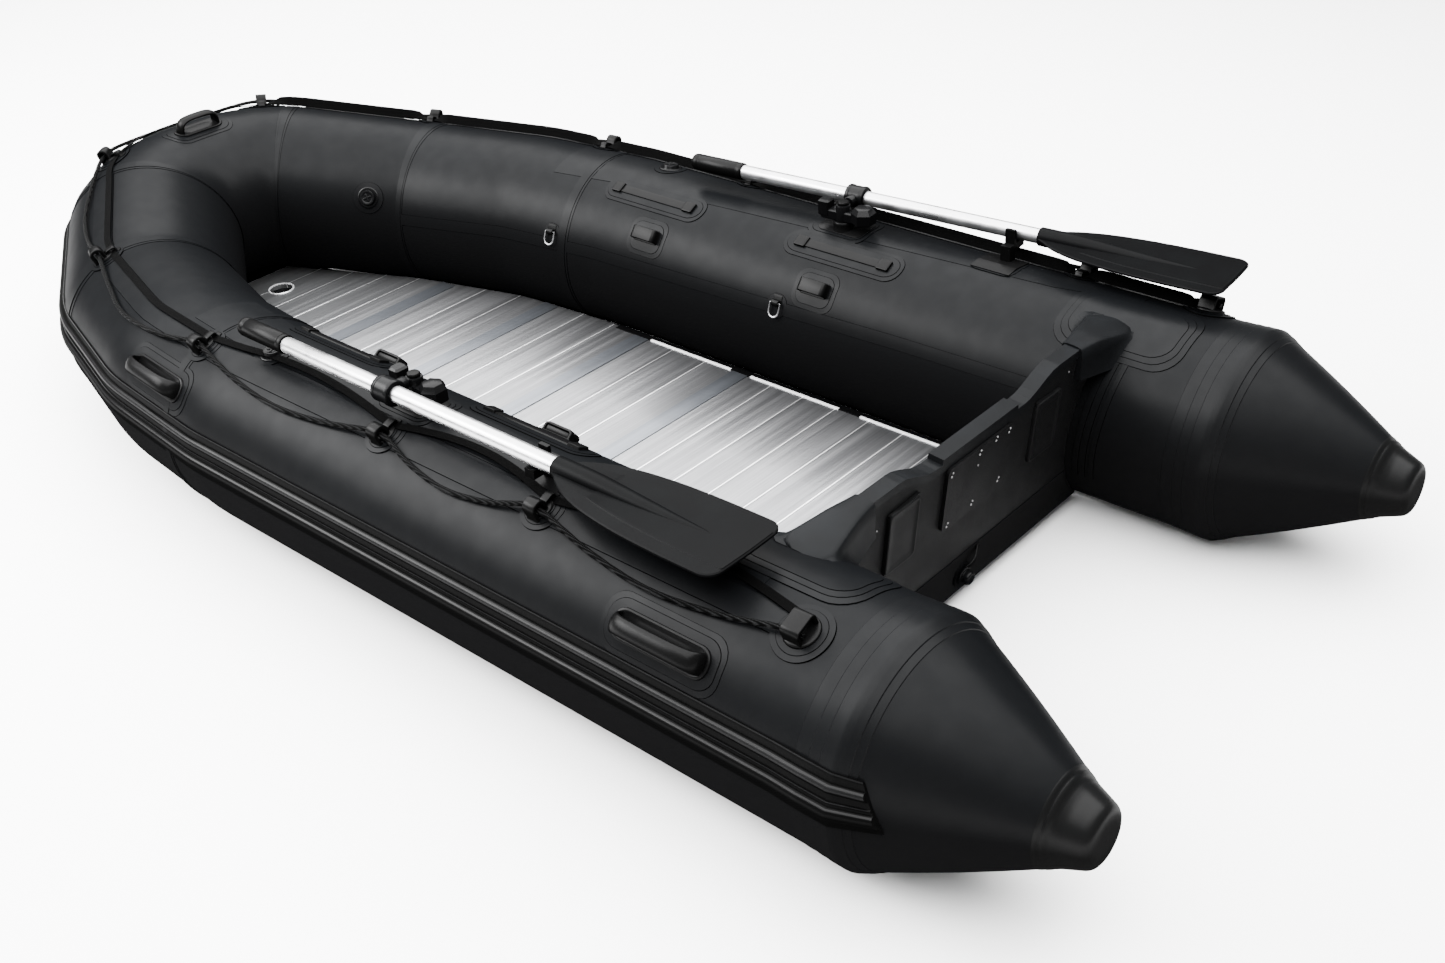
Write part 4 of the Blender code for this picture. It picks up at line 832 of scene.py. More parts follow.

# %% [markdown]
# ## Rub strake
# A rubber strake with moulded ribs runs right round the outside, just above half height.
# Two ribs stand proud, thin ones lie between them, and the ends are cut on a slant just
# behind the cone joints. The top edge and the upper flanks of the ribs get a paler copy
# of the rubber with a little more gloss, a painted highlight along their crest.

# %% Rub strake with ribs
strake_section = [(66.5, -0.0006), (66.7, 0.0032), (67.2, 0.0036), (67.7, 0.0028), (68.6, 0.0024),
                  (70.8, 0.0024), (71.2, 0.0072), (71.8, 0.0098), (72.6, 0.0110), (73.6, 0.0112), (74.4, 0.0100),
                  (74.9, 0.0072), (75.1, 0.0024), (78.4, 0.0022), (78.7, 0.0046), (79.1, 0.0052), (79.6, 0.0046),
                  (79.8, 0.0022), (81.3, 0.0024), (81.7, 0.0062), (82.4, 0.0092), (83.4, 0.0114), (84.6, 0.0120),
                  (85.8, 0.0114), (86.8, 0.0092), (87.5, 0.0062), (87.9, 0.0024), (90.6, 0.0022), (91.2, 0.0020),
                  (91.5, -0.0006)]
# faces of the strake that get the painted highlight: the top edge and the upper flanks of the ribs
highlight_columns = [1, 6, 7, 8, 14, 19]
strake_low, strake_high = strake_section[0][0], strake_section[-1][0]
strake_overrun = (0.044, 0.081)
strake_overrun_steps = 8
band_lift = 0.0036  # the strake rides up over the band where the cone begins


def over_cone(side, degrees, beyond, height):
    """A point off the cone's skin, so far beyond the joint, at an angle from the top."""
    share = min(1.0, beyond / cone_length)
    radius = skin_radius + (cone_tip - skin_radius) * share + cone_swell(share) + height
    angle = math.radians(degrees)
    return Vector((cone_base_x + beyond, side * (half_spacing + radius * math.sin(angle)),
                   axis_height + radius * math.cos(angle)))


def strake_over_cone(side, share):
    """A cross-section past the cone joint. The cut at its end slants aft toward the keel."""
    ring = []
    for degrees, height in strake_section:
        low, high = strake_overrun
        reach = low + (high - low) * (degrees - strake_low) / (strake_high - strake_low)
        lift = height + band_lift * min(1.0, share * strake_overrun_steps)
        ring.append(over_cone(side, degrees, reach * share, lift))
    return ring


strake = Shape()
band_start = distance_at(cone_base_x - 0.095, 1)
rings = [strake_over_cone(-1, k / strake_overrun_steps) for k in range(strake_overrun_steps, 0, -1)]
for s in [-bow_distance] + [d for d in distances if abs(d) < bow_distance - 0.01] + [bow_distance]:
    lift = band_lift * max(0.0, min(1.0, (abs(s) - band_start) / 0.040))
    rings.append([skin_point(s, degrees, height + lift)
                  for degrees, height in strake_section])
rings += [strake_over_cone(1, k / strake_overrun_steps) for k in range(1, strake_overrun_steps + 1)]
strake.loft(rings, columns=highlight_columns)
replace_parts(strake.piece("ribbed_strake", strake_rubber, crease=35, second=strake_crest_highlight), "rub_strake")
print("strake has", len(strake_section), "points across")

# %% [markdown]
# ## Patches
# Every fitting stands on its own patch, cut from the same fabric with round corners, and
# often on two or three of them, each smaller than the one below. They spread the pull of
# the fitting into the tube.

# %% Patches under the fittings
patches = Shape()
layer_thickness = 0.0011


def layered(layers, ring, lift):
    """Steps of a patch of several layers, a ring apart, that start at a lift off the skin."""
    steps = [(0.0, -sunk)]
    for i in range(layers):
        height = layer_thickness * (i + 1) + lift
        steps.append((ring * i + tape_edge, height))
        if i < layers - 1:
            steps.append((ring * (i + 1), height))
    return steps


def round_patch(s, degrees, radius, layers=2, ring=0.011, lift=0.0019):
    laid_plate(patches, s, degrees, circle(radius, 48), layered(layers, ring, lift))


def oblong_patch(s, degrees, half_long, half_wide, radius, layers=2, ring=0.010, lift=0.0):
    laid_plate(patches, s, degrees, oblong(half_long, half_wide, radius), layered(layers, ring, lift))


print("patches are cut from fabric of", 1000 * layer_thickness, "mm")


# %% [markdown]
# ## Rope holders, lifeline and strap
# A holder is moulded in one piece: a round foot, a thick loop outboard that the lifeline
# runs through, and a flatter loop inboard for the strap. Bigger blocks anchor both at the
# stern.

# %% Holders
holder_angle = 22.5
anchor_x = 1.239
holder_places = [(anchor_x, -1), (0.640, -1), (0.190, -1), (-0.440, -1), (-1.050, -1), (-1.466, -1),
                 (-1.466, 1), (-1.090, 1), (-0.520, 1), (-0.020, 1), (0.250, 1), (0.940, 1), (anchor_x, 1)]
holder_stops = [distance_at(x, side) for x, side in holder_places]


def turned(shape, matrix, profile, sides=40):
    """A turned surface about the Z axis of a matrix, closed where its radius ends."""
    shape.loft([[matrix @ Vector((x, y, z)) for x, y in circle(radius, sides)] for radius, z in profile])


def square_to(path, k):
    """The unit direction square to a flat path at one of its points."""
    (y0, z0), (y1, z1) = neighbours(path, k)
    length = math.hypot(y1 - y0, z1 - z0)
    return (z1 - z0) / length, -(y1 - y0) / length


def arch(shape, matrix, path, half_width, thickness, radius):
    """A band bent over a path of (y, z) points, as wide as twice half_width along X."""
    section = oblong(half_width, thickness / 2, radius, 3)
    rings = []
    for k, (y, z) in enumerate(path):
        ny, nz = square_to(path, k)
        rings.append([matrix @ Vector((a, y + b * ny, z + b * nz)) for a, b in section])
    shape.loft(rings)


def block(shape, matrix, x_range, half_wide, low, high, bevel):
    """A block with bevelled edges, in a matrix's own frame."""
    x0, x1 = x_range
    middle = (x0 + x1) / 2
    rings = []
    for inset, z in ((bevel, low), (0.0, low + bevel), (0.0, high - bevel), (bevel, high)):
        outline = oblong((x1 - x0) / 2 - inset, half_wide - inset, bevel * 1.2, 3)
        rings.append([matrix @ Vector((middle + a, b, z)) for a, b in outline])
    shape.loft(rings)


def loop_path(outer, inner, top, corner, foot=0.001, steps=6):
    """Up from the outboard foot, over two round corners, and down to the inboard foot."""
    return ([(outer + 0.002, foot), (outer, foot + 0.004)]
            + quarter(outer - corner, top - corner, corner, 0, steps)
            + quarter(inner + corner, top - corner, corner, 1, steps)
            + [(inner, foot + 0.004), (inner - 0.002, foot)])


holders = Shape()
for number, s in enumerate(holder_stops):
    anchor = number in (0, len(holder_stops) - 1)
    here = seat(s, holder_angle)
    foot = 0.033 if anchor else 0.0215
    round_patch(s, holder_angle, 0.056 if anchor else 0.047, 3, 0.0115 if anchor else 0.0105)
    turned(holders, here, [(foot, 0.0036), (foot, 0.0062), (foot - 0.0014, 0.0078), (foot - 0.0040, 0.0084),
                           (foot - 0.0090, 0.0092), (foot * 0.30, 0.0096)])
    if anchor:
        arch(holders, here, loop_path(0.0245, -0.0215, 0.0330, 0.0085), 0.0190, 0.0066, 0.0022)
    else:
        arch(holders, here, loop_path(0.0260, 0.0000, 0.0345, 0.0110), 0.0150, 0.0078, 0.0024)
        arch(holders, here, loop_path(-0.0060, -0.0300, 0.0150, 0.0050), 0.0090, 0.0040, 0.0014)
        laid_plate(holders, s, holder_angle - 7.2, oblong(0.0105, 0.0130, 0.005),
                   [(0.0, 0.0016), (0.0010, 0.0042), (0.0022, 0.0046)])
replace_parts(holders.piece("rope_holders", moulded_rubber, crease=45, second=seam_shadow), "rope_strip")
print(len(holder_stops) - 2, "holders and 2 anchors")

# %% Lifeline: a braid through every holder, sagging outboard between them
rope_radius = 0.0052
rope_angle = 25.5
eye_angle = 26.2
eye_lead = 0.034  # from the middle of a holder to where the rope leaves its eye
anchor_lead = 0.018
eye_height = 0.0185


def smooth_path(points, spacing):
    """Points along a curve that passes smoothly through the given ones."""
    out = []
    for k in range(len(points) - 1):
        p0, p1 = points[max(k - 1, 0)], points[k]
        p2, p3 = points[k + 1], points[min(k + 2, len(points) - 1)]
        count = max(1, round((p2 - p1).length / spacing))
        for i in range(count):
            t = i / count
            out.append(p1 * (1 + t * t * (2 * t - 3)) + p2 * (t * t * (3 - 2 * t))
                       + (p2 - p0) * (0.5 * t * (1 - t) ** 2) + (p3 - p1) * (0.5 * t * t * (t - 1)))
    return out + [points[-1]]


def rope(shape, points, radius, strands=3, lay=0.045, sides=12):
    """A laid rope: its round is swelled into strands that wind along it."""
    up = Vector((0, 0, 1))
    run = 0.0
    rings = []
    for k, point in enumerate(points):
        before, after = neighbours(points, k)
        along = (after - before).normalized()
        side = along.cross(up).normalized()
        high = side.cross(along)
        if k:
            run += (point - points[k - 1]).length
        ring = []
        for i in range(sides):
            angle = 2 * math.pi * i / sides
            swell = radius * (0.93 + 0.10 * abs(math.cos(strands / 2 * angle + math.pi * run / lay)))
            ring.append(point + side * swell * math.cos(angle) + high * swell * math.sin(angle))
        rings.append(ring)
    shape.loft(rings)


ends = [distance_at(anchor_x + anchor_lead, side) for side in (-1, 1)]
route = [skin_point(ends[0], rope_angle, 0.0175)]
for start, end in zip(holder_stops, holder_stops[1:]):
    route.append(skin_point(start, rope_angle, eye_height))
    route.append(skin_point(start + eye_lead, eye_angle, 0.0165))
    sag = min(1.0, (end - start) / 0.45)
    for share, degrees in ((0.26, 6.4), (0.50, 9.6), (0.74, 6.4)):
        route.append(skin_point(start + (end - start) * share, rope_angle + degrees * sag, 0.0085))
    route.append(skin_point(end - eye_lead, eye_angle, 0.0165))
route.append(skin_point(holder_stops[-1], rope_angle, eye_height))
route.append(skin_point(ends[1], rope_angle, 0.0175))
lifeline = Shape()
rope(lifeline, smooth_path(route, 0.005), rope_radius)
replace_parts(lifeline.piece("braided_lifeline", rope_yarn, crease=80), "lifeline")
print("lifeline through", len(holder_stops) - 2, "holders and 2 anchors")

# %% [markdown]
# The strap is flat webbing. It lies on the near tube, and on the far one it stands on its
# edge between the holders, as webbing does when it is a little too long.

# %% Strap
strap_half = 0.0085
strap_inward = 8.5
strap_angle = 17.6
stand_angle = math.radians(80)
near_oar = distance_at(-0.44, -1)
far_start = 0.10
strap = Shape()
strap_rings = []
stops = [ends[0]] + holder_stops + [ends[1]]
for start, end in zip(stops, stops[1:]):
    count = max(2, math.ceil((end - start) / 0.02))
    for k in range(count):
        s = start + (end - start) * k / count
        gap = min(s - start, end - s) if start != ends[0] and end != ends[1] else 0
        stand = max(0.0, min(1.0, (gap - 0.008) / 0.040)) if start > far_start else 0.0
        lean = stand_angle * stand * stand * (3 - 2 * stand)
        inward = 0.0
        if ends[0] < start < near_oar:
            inward = strap_inward * math.sin(math.pi * (s - start) / (end - start))
        base = seat(s, strap_angle - inward)
        low = 0.0064 + strap_half * math.sin(lean) * 1.15
        half = strap_half * (1 + 0.55 * stand)
        across = Vector((0, math.cos(lean), math.sin(lean)))
        thick = Vector((0, -math.sin(lean), math.cos(lean))) * 0.0011
        middle = Vector((0, 0, low))
        strap_rings.append([base @ (middle + across * half * a + thick * b)
                            for a, b in ((1, 1), (1, -1), (-1, -1), (-1, 1))])
strap.loft(strap_rings)
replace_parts(strap.piece("webbing_strap", strap_yarn, crease=50), "flat_strap")
print("strap in", len(strap_rings), "steps")

# %% [markdown]
# ## Carrying handles
# Each tube has two moulded handles on its outer side, and one more is on the bow. A
# broad rounded bar springs from a thick moulded foot, with room for four fingers.

# %% Handles
def grip_bar(shape, matrix, half_long, rise, half_wide, thickness):
    """A bar that rises steeply at its ends and is rounded across."""
    path = []
    steps = 14
    for k in range(2 * steps + 1):
        t = (k - steps) / steps
        lift = 1 - abs(t) ** 3.2
        path.append((half_long * math.sin(math.pi / 2 * t), rise * max(0.0, lift) ** 0.8))
    rings = []
    for k, (x, z) in enumerate(path):
        nx, nz = square_to(path, k)
        flare = 1 + 0.25 * abs(k - steps) ** 3 / steps ** 3
        ring = []
        for i in range(20):
            angle = 2 * math.pi * i / 20
            a = math.copysign(abs(math.cos(angle)) ** 0.7, math.cos(angle)) * half_wide * flare
            b = math.copysign(abs(math.sin(angle)) ** 0.7, math.sin(angle)) * thickness / 2
            b += 0.0035 * (1 - (a / (half_wide * flare)) ** 2)
            ring.append(matrix @ Vector((x - b * nx, a, z - b * nz)))
        rings.append(ring)
    shape.loft(rings)


def handle(name, s, degrees, half_long, replaced, half_wide=0.0165):
    """A grip bar on its moulded foot and its patch."""
    oblong_patch(s, degrees, half_long + 0.042, half_wide + 0.040, 0.040, 2, 0.011)
    shape = Shape()
    laid_plate(shape, s, degrees, oblong(half_long + 0.016, half_wide + 0.013, 0.026),
               [(0.0, 0.0016), (0.0012, 0.0056), (0.0030, 0.0064), (0.0060, 0.0064), (0.0080, 0.0046)])
    grip_bar(shape, seat(s, degrees) @ Matrix.Translation((0, 0, 0.0035)), half_long, 0.0345, half_wide, 0.0085)
    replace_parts(shape.piece(name, moulded_rubber, crease=45), replaced)


side_handle_angle = 52.5
for side, word in both_sides:
    for end, x in (("stern", 1.010), ("bow", -0.520)):
        handle(f"{word}_{end}_grip", distance_at(x, side), side_handle_angle, 0.094, f"{word}_{end}_handle")
handle("bow_top_grip", 0.0, -7.5, 0.056, "bow_top_handle", 0.0150)
print("five handles")

# %% [markdown]
# ## Inside fittings
# Along the inside run seat straps on their own long patches, moulded belt blocks, and
# steel D rings on small rubber seats.

# %% Seat straps, belt blocks and ring seats
seat_strap_angle = -27
block_angle = -52.5
ring_seat_angle = -67.5
for side, word in both_sides:
    fittings = Shape()
    for x0, x1 in ((-0.371, -0.024), (0.240, 0.582)):
        s = distance_at((x0 + x1) / 2, side)
        half = (x1 - x0) / 2
        oblong_patch(s, seat_strap_angle, half, 0.040, 0.038, 2, 0.010, 0.0009)
        laid_plate(fittings, s, seat_strap_angle, oblong(half - 0.033, 0.0115, 0.004),
                   [(0, 0.0020), (0.0010, 0.0058), (0.003, 0.0062)])
        for end in (-1, 1):
            laid_plate(fittings, s + end * (half - 0.050), seat_strap_angle, oblong(0.0170, 0.0150, 0.003),
                       [(0, 0.0020), (0.0010, 0.0092), (0.0030, 0.0102)])
    for x in (-0.155, 0.388):
        s = distance_at(x, side)
        oblong_patch(s, block_angle - 1, 0.062, 0.050, 0.030, 2, 0.012)
        place = seat(s, block_angle)
        turn = place @ Matrix.Rotation(math.pi / 2, 4, "Z")
        arch(fittings, turn, loop_path(0.0360, -0.0360, 0.0205, 0.0075), 0.0165, 0.0062, 0.0022)
        block(fittings, place, (-0.0315, 0.0315), 0.0145, 0.0010, 0.0168, 0.0020)
        laid_plate(fittings, s, block_angle, oblong(0.040, 0.019, 0.006),
                   [(0, 0.0016), (0.0012, 0.0042), (0.0030, 0.0045)])
    for x in (-0.490, 0.294):
        s = distance_at(x, side)
        oblong_patch(s, ring_seat_angle - 1.5, 0.030, 0.030, 0.026, 1, 0.008)
        place = seat(s, ring_seat_angle)
        arch(fittings, place, loop_path(0.0062, -0.0062, 0.0125, 0.0050), 0.0100, 0.0026, 0.0010)
        laid_plate(fittings, s, ring_seat_angle + 1.5, oblong(0.0140, 0.0150, 0.004),
                   [(0, 0.0008), (0.0010, 0.0028), (0.0030, 0.0030)])
    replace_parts(fittings.piece(word + "_inside_fittings", moulded_rubber, crease=45), word + "_inner_strip")
print("inside fittings")

# %% [markdown]
# ## Oars
# Each oar is a drawn tube with a rubber grip at one end and a moulded blade at the other.
# The blade's socket runs out into a long tapering rib that stiffens it. The blade's rim
# stands a little below its inner panel, and its outer corners are well rounded.

# %% Where the oars lie
oar_place = {-1: (0.170, 0.650, 0.0), 1: (0.350, 0.637, 5.0)}
oar_height = 0.515


def oar_frame(side):
    """X along the shaft to the blade, Y to starboard, Z up, from the middle of the collar."""
    x, y, splay = oar_place[side]
    turn = Matrix.Rotation(math.radians(side * splay), 4, "Z")
    return Matrix.Translation((x, side * y, oar_height)) @ turn


def along_x(shape, matrix, profile, sides=48, squash=None, caps=True):
    """A turned surface about the X axis of a matrix, flattened by squash if it is given."""
    rings = []
    for k, (radius, x) in enumerate(profile):
        flat = squash[k] if squash else 1.0
        rings.append([matrix @ Vector((x, a, b * flat)) for a, b in circle(radius, sides)])
    return shape.loft(rings, caps=caps)


print("oars lie", oar_height, "m above the ground")


# %% Grips and shafts
shaft_radius = 0.0175
shaft_profile = [(0.0150, -0.3340), (0.0172, -0.3338), (shaft_radius, -0.3330), (shaft_radius, 0.0),
                 (shaft_radius, 0.4815), (0.0150, 0.4820)]
grip_profile = [(0.0010, -0.4900), (0.0120, -0.4897), (0.0168, -0.4880), (0.0196, -0.4845), (0.0208, -0.4795),
                (0.0211, -0.4700), (0.0206, -0.4690), (0.0206, -0.4660), (0.0211, -0.4650), (0.0212, -0.3520),
                (0.0207, -0.3510), (0.0207, -0.3480), (0.0212, -0.3470), (0.0211, -0.3385), (0.0203, -0.3360),
                (0.0186, -0.3350), (0.0178, -0.3350)]
for side, word in both_sides:
    grip = along_x(Shape(), oar_frame(side), grip_profile)
    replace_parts(grip.piece(word + "_rubber_grip", moulded_rubber, body=word + "_oar"), word + "_oar_grip")
    shaft = along_x(Shape(), oar_frame(side), shaft_profile, 64)
    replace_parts(shaft.piece(word + "_drawn_shaft", shaft_metal, body=word + "_oar"), word + "_oar_shaft")
print("grips", len(grip_profile), "rings each")

# %% Blades
socket_start = 0.480
blade_tip = 0.930
blade_shares = [(0.0, 0.21), (0.02, 0.24), (0.10, 0.50), (0.20, 0.70), (0.32, 0.84), (0.50, 0.95),
                (0.75, 1.0), (1.0, 1.0)]
blade_half_width = 0.095
corner_round = 0.030


def blade_width(x):
    """Half the blade's width at a place along the oar, smoothed through its shares."""
    share = (x - socket_start) / (blade_tip - socket_start)
    for k in range(len(blade_shares) - 1):
        (a, low), (b, high) = blade_shares[k], blade_shares[k + 1]
        if share <= b:
            before = blade_shares[max(k - 1, 0)]
            after = blade_shares[min(k + 2, len(blade_shares) - 1)]
            rise_low = (high - before[1]) / max(b - before[0], 0.01) * (b - a)
            rise_high = (after[1] - low) / max(after[0] - a, 0.01) * (b - a)
            u = (share - a) / (b - a)
            value = (low * (1 + u * u * (2 * u - 3)) + high * u * u * (3 - 2 * u)
                     + rise_low * u * (1 - u) ** 2 + rise_high * u * u * (u - 1))
            return blade_half_width * min(1.0, value)
    return blade_half_width


def blade_outline(inset, start):
    """The blade's outline, moved inward, from a place along the oar to the tip and back."""
    corner = max(corner_round - inset, 0.004)
    end = blade_tip - min(inset, 0.0026)
    half = []
    steps = 26
    for k in range(steps + 1):
        x = start + (end - corner - start) * k / steps
        half.append((x, max(blade_width(x) - inset, 0.004)))
    width = half[-1][1]
    for k in range(1, 9):
        angle = math.pi / 2 * k / 8
        half.append((end - corner + corner * math.sin(angle), width - corner + corner * math.cos(angle)))
    half.append((end + 0.0012, 0.012))
    return half + [(x, -y) for x, y in reversed(half)]


rib_profile = [(0.0180, 0.4800), (0.0206, 0.4802), (0.0216, 0.4815), (0.0216, 0.5600), (0.0211, 0.5900),
               (0.0190, 0.6400), (0.0162, 0.6900), (0.0130, 0.7400), (0.0098, 0.7900), (0.0068, 0.8350),
               (0.0040, 0.8680), (0.0010, 0.8840)]
rib_squash = [1, 1, 1, 1, 0.97, 0.90, 0.84, 0.80, 0.80, 0.84, 0.95, 1.2]
blade_levels = [(0.0300, 0.600, -0.0050), (0.0285, 0.596, -0.0036), (0.0022, 0.482, -0.0036),
                (0.0, 0.481, -0.0018), (0.0, 0.481, 0.0018), (0.0022, 0.482, 0.0036),
                (0.0285, 0.596, 0.0036), (0.0300, 0.600, 0.0050)]
for side, word in both_sides:
    here = oar_frame(side)
    blade = Shape()
    blade.loft([[here @ Vector((x, y, z)) for x, y in blade_outline(inset, start)]
                for inset, start, z in blade_levels])
    along_x(blade, here, rib_profile, 40, rib_squash)
    thing = blade.piece(word + "_ribbed_blade", blade_plastic, body=word + "_oar", crease=30)
    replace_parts(thing, word + "_oar_blade")
print("blades", round(2 * blade_width(0.85), 3), "m wide")

# %% [markdown]
# ## Rowlocks
# A collar grips the shaft and hangs on a pin from a swivel that turns on the post of the
# base. The swivel is a block beside the shaft, with a square lug at its fore end and a
# bevelled knob at its after end.

# %% Collars and swivels
collar_profile = [(0.0178, -0.0250), (0.0236, -0.0250), (0.0262, -0.0238), (0.0273, -0.0212), (0.0274, -0.0150),
                  (0.0263, -0.0138), (0.0263, 0.0138), (0.0274, 0.0150), (0.0273, 0.0212), (0.0262, 0.0238),
                  (0.0236, 0.0250), (0.0178, 0.0250)]
pin_profile = [(0.0120, 0.0200), (0.0136, 0.0220), (0.0136, 0.0405), (0.0122, 0.0428), (0.0080, 0.0430)]
swivel_profile = [(0.0165, -0.0352), (0.0182, -0.0338), (0.0182, 0.0010), (0.0168, 0.0040), (0.0125, 0.0046),
                  (0.0098, 0.0046)]
knob_profile = [(0.0270, -0.0330), (0.0300, -0.0300), (0.0300, -0.0060), (0.0215, 0.0060), (0.0190, 0.0070),
                (0.0030, 0.0070)]
foot_profile = [(0.0262, -0.0560), (0.0245, -0.0500), (0.0240, -0.0420), (0.0240, -0.0372), (0.0225, -0.0356)]
post_profile = [(0.0088, -0.0400), (0.0088, 0.0050), (0.0135, 0.0054), (0.0140, 0.0066), (0.0140, 0.0100),
                (0.0120, 0.0122), (0.0030, 0.0126)]
post_offset = 0.065
rowlock_angle = -3
clip_angle = 2.75
clip_along = 0.420
for side, word in both_sides:
    here = oar_frame(side)
    collar = along_x(Shape(), here, collar_profile, 56, caps=False)
    inboard = here @ Matrix.Rotation(math.radians(-90 * side), 4, "Z")
    along_x(collar, inboard, pin_profile)
    thing = collar.piece(word + "_shaft_collar", moulded_plastic, body=word + "_collar")
    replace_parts(thing, word + "_oar_collar")
    post = here @ Matrix.Translation((0, -side * post_offset, 0))
    swivel = Shape()
    turned(swivel, post, swivel_profile)
    along_x(swivel, inboard, [(0.0060, 0.0285), (0.0071, 0.0295), (0.0071, 0.0640), (0.0060, 0.0650)], 24)
    block(swivel, post, (-0.0560, 0.0640), 0.0150, -0.0352, -0.0100, 0.0030)
    block(swivel, post, (-0.0630, -0.0330), 0.0165, -0.0300, 0.0110, 0.0040)
    knob = post @ Matrix.Translation((0.0560, 0, 0)) @ Matrix.Rotation(math.pi / 6, 4, "Z")
    turned(swivel, knob, knob_profile, 6)
    thing = swivel.piece(word + "_swivel_block", moulded_plastic, body=word + "_swivel", crease=30)
    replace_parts(thing, word + "_rowlock_swivel")
    s = distance_at(post.translation.x, side)
    base = laid_plate(Shape(), s, rowlock_angle, oblong(0.064, 0.044, 0.018),
                      [(0.0, 0.0016), (0.0012, 0.0046), (0.0030, 0.0050)])
    turned(base, post, foot_profile)
    turned(base, post, post_profile)
    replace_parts(base.piece(word + "_rowlock_foot", moulded_rubber, crease=45), word + "_rowlock_base")
    x = oar_place[side][0]
    oblong_patch(distance_at(x, side), rowlock_angle, 0.084, 0.062, 0.030, 2, 0.010, 0.0009)
    clip_x = (here @ Vector((clip_along, 0, 0))).x
    oblong_patch(distance_at(clip_x, side), clip_angle, 0.058, 0.048, 0.024, 1, 0.010, 0.0009)
print("rowlocks at x", oar_place[-1][0], "and", oar_place[1][0])

# %% [markdown]
# ## Transom fittings
# Small steel screws hold the motor plate and the trim. Wide patches and double tapes tie
# the board to the tubes. A short rubber tether holds the drain plug.

# %% The board's own frame
transom_rake = math.radians(6)
board_foot = 0.0505
board_half = 0.014
face_x, face_z = 1.1203, 0.434  # a point of the board's after face


def board_frame():
    """X points aft, Y to starboard and Z up the raked board, from the middle of its foot."""
    up = Vector((math.sin(transom_rake), 0, math.cos(transom_rake)))
    face = Vector((math.cos(transom_rake), 0, -math.sin(transom_rake)))
    drop = (face_z - board_foot) / math.cos(transom_rake)
    origin = Vector((face_x, 0, face_z)) - up * drop - face * board_half
    return Matrix.Translation(origin) @ Matrix.Rotation(transom_rake, 4, "Y")


board = board_frame()
plate_face = 0.0224
panel_face = 0.0202
big_head = [(0.0024, -0.0010), (0.0024, 0.0005), (0.0016, 0.0011), (0.0004, 0.0013)]
small_head = [(0.0019, -0.0010), (0.0019, 0.0004), (0.0012, 0.0008), (0.0003, 0.0010)]
screws = Shape()
plate_screws = [(0.098, 0.347), (0.052, 0.350), (-0.003, 0.346), (-0.097, 0.343), (0.081, 0.238),
                (-0.010, 0.230), (-0.093, 0.222)]
for y, z in plate_screws:
    for shift in (-0.0036, 0.0036):
        along_x(screws, board @ Matrix.Translation((plate_face, y + shift * 0.5, z + shift)),
                big_head, 14)
small_screws = [(0.325, 0.372), (0.279, 0.258), (0.246, 0.232), (-0.228, 0.232), (-0.279, 0.232),
                (-0.323, 0.335), (-0.006, 0.318)]
for y, z in small_screws:
    on_panel = 0.2 < abs(y) < 0.292 and z < 0.352
    reach = plate_face if abs(y) < 0.11 else panel_face if on_panel else board_half
    along_x(screws, board @ Matrix.Translation((reach, y, z)),
            small_head, 12)
screws.piece("transom_screws", screw_steel, crease=60)
panels = Shape()
for side in (-1, 1):
    rings = []
    for inset, reach in ((0.0, board_half - 0.001), (0.0, 0.0205), (0.0012, 0.0222), (0.0028, 0.0226),
                         (0.0052, 0.0226), (0.0066, 0.0214), (0.0200, 0.0214)):
        rings.append([board @ Vector((reach, side * 0.246 + a, 0.2835 + b))
                      for a, b in oblong(0.0475 - inset, 0.0700 - inset, 0.0100 - inset * 0.3)])
    panels.loft(rings)
panels.piece("side_panels", board_coating, crease=40)
print(len(plate_screws) * 2 + len(small_screws), "screw heads")

# %% Tapes and patches where the board meets the tubes
joint_tapes = Shape()
for side in (-1, 1):
    for low, high, lift in ((0.018, 0.052, 0.0012), (0.021, 0.036, 0.0026), (0.058, 0.072, 0.0012)):
        for direction in (-1, 1):
            rings = []
            for k in range(33):
                degrees = -16 - 96 * k / 32
                z = axis_height + skin_radius * math.cos(math.radians(degrees))
                middle = 1.0975 + (z - 0.235) * math.tan(transom_rake)
                stops = sorted((middle + direction * low, middle + direction * high))
                rings.append([skin_point(distance_at(x, side), degrees, height)
                              for x, height in tape_section(stops[0], stops[1], 0.0, lift)])
            joint_tapes.loft(rings, round_ring=False, caps=False, columns=(0, 2))
    oblong_patch(distance_at(1.135, side), -18, 0.150, 0.095, 0.060, 3, 0.014, 0.0009)
joint_tapes.piece("transom_tapes", tape_fabric, crease=25, second=seam_shadow)
print("tapes at the board have", len(joint_tapes.faces), "faces")

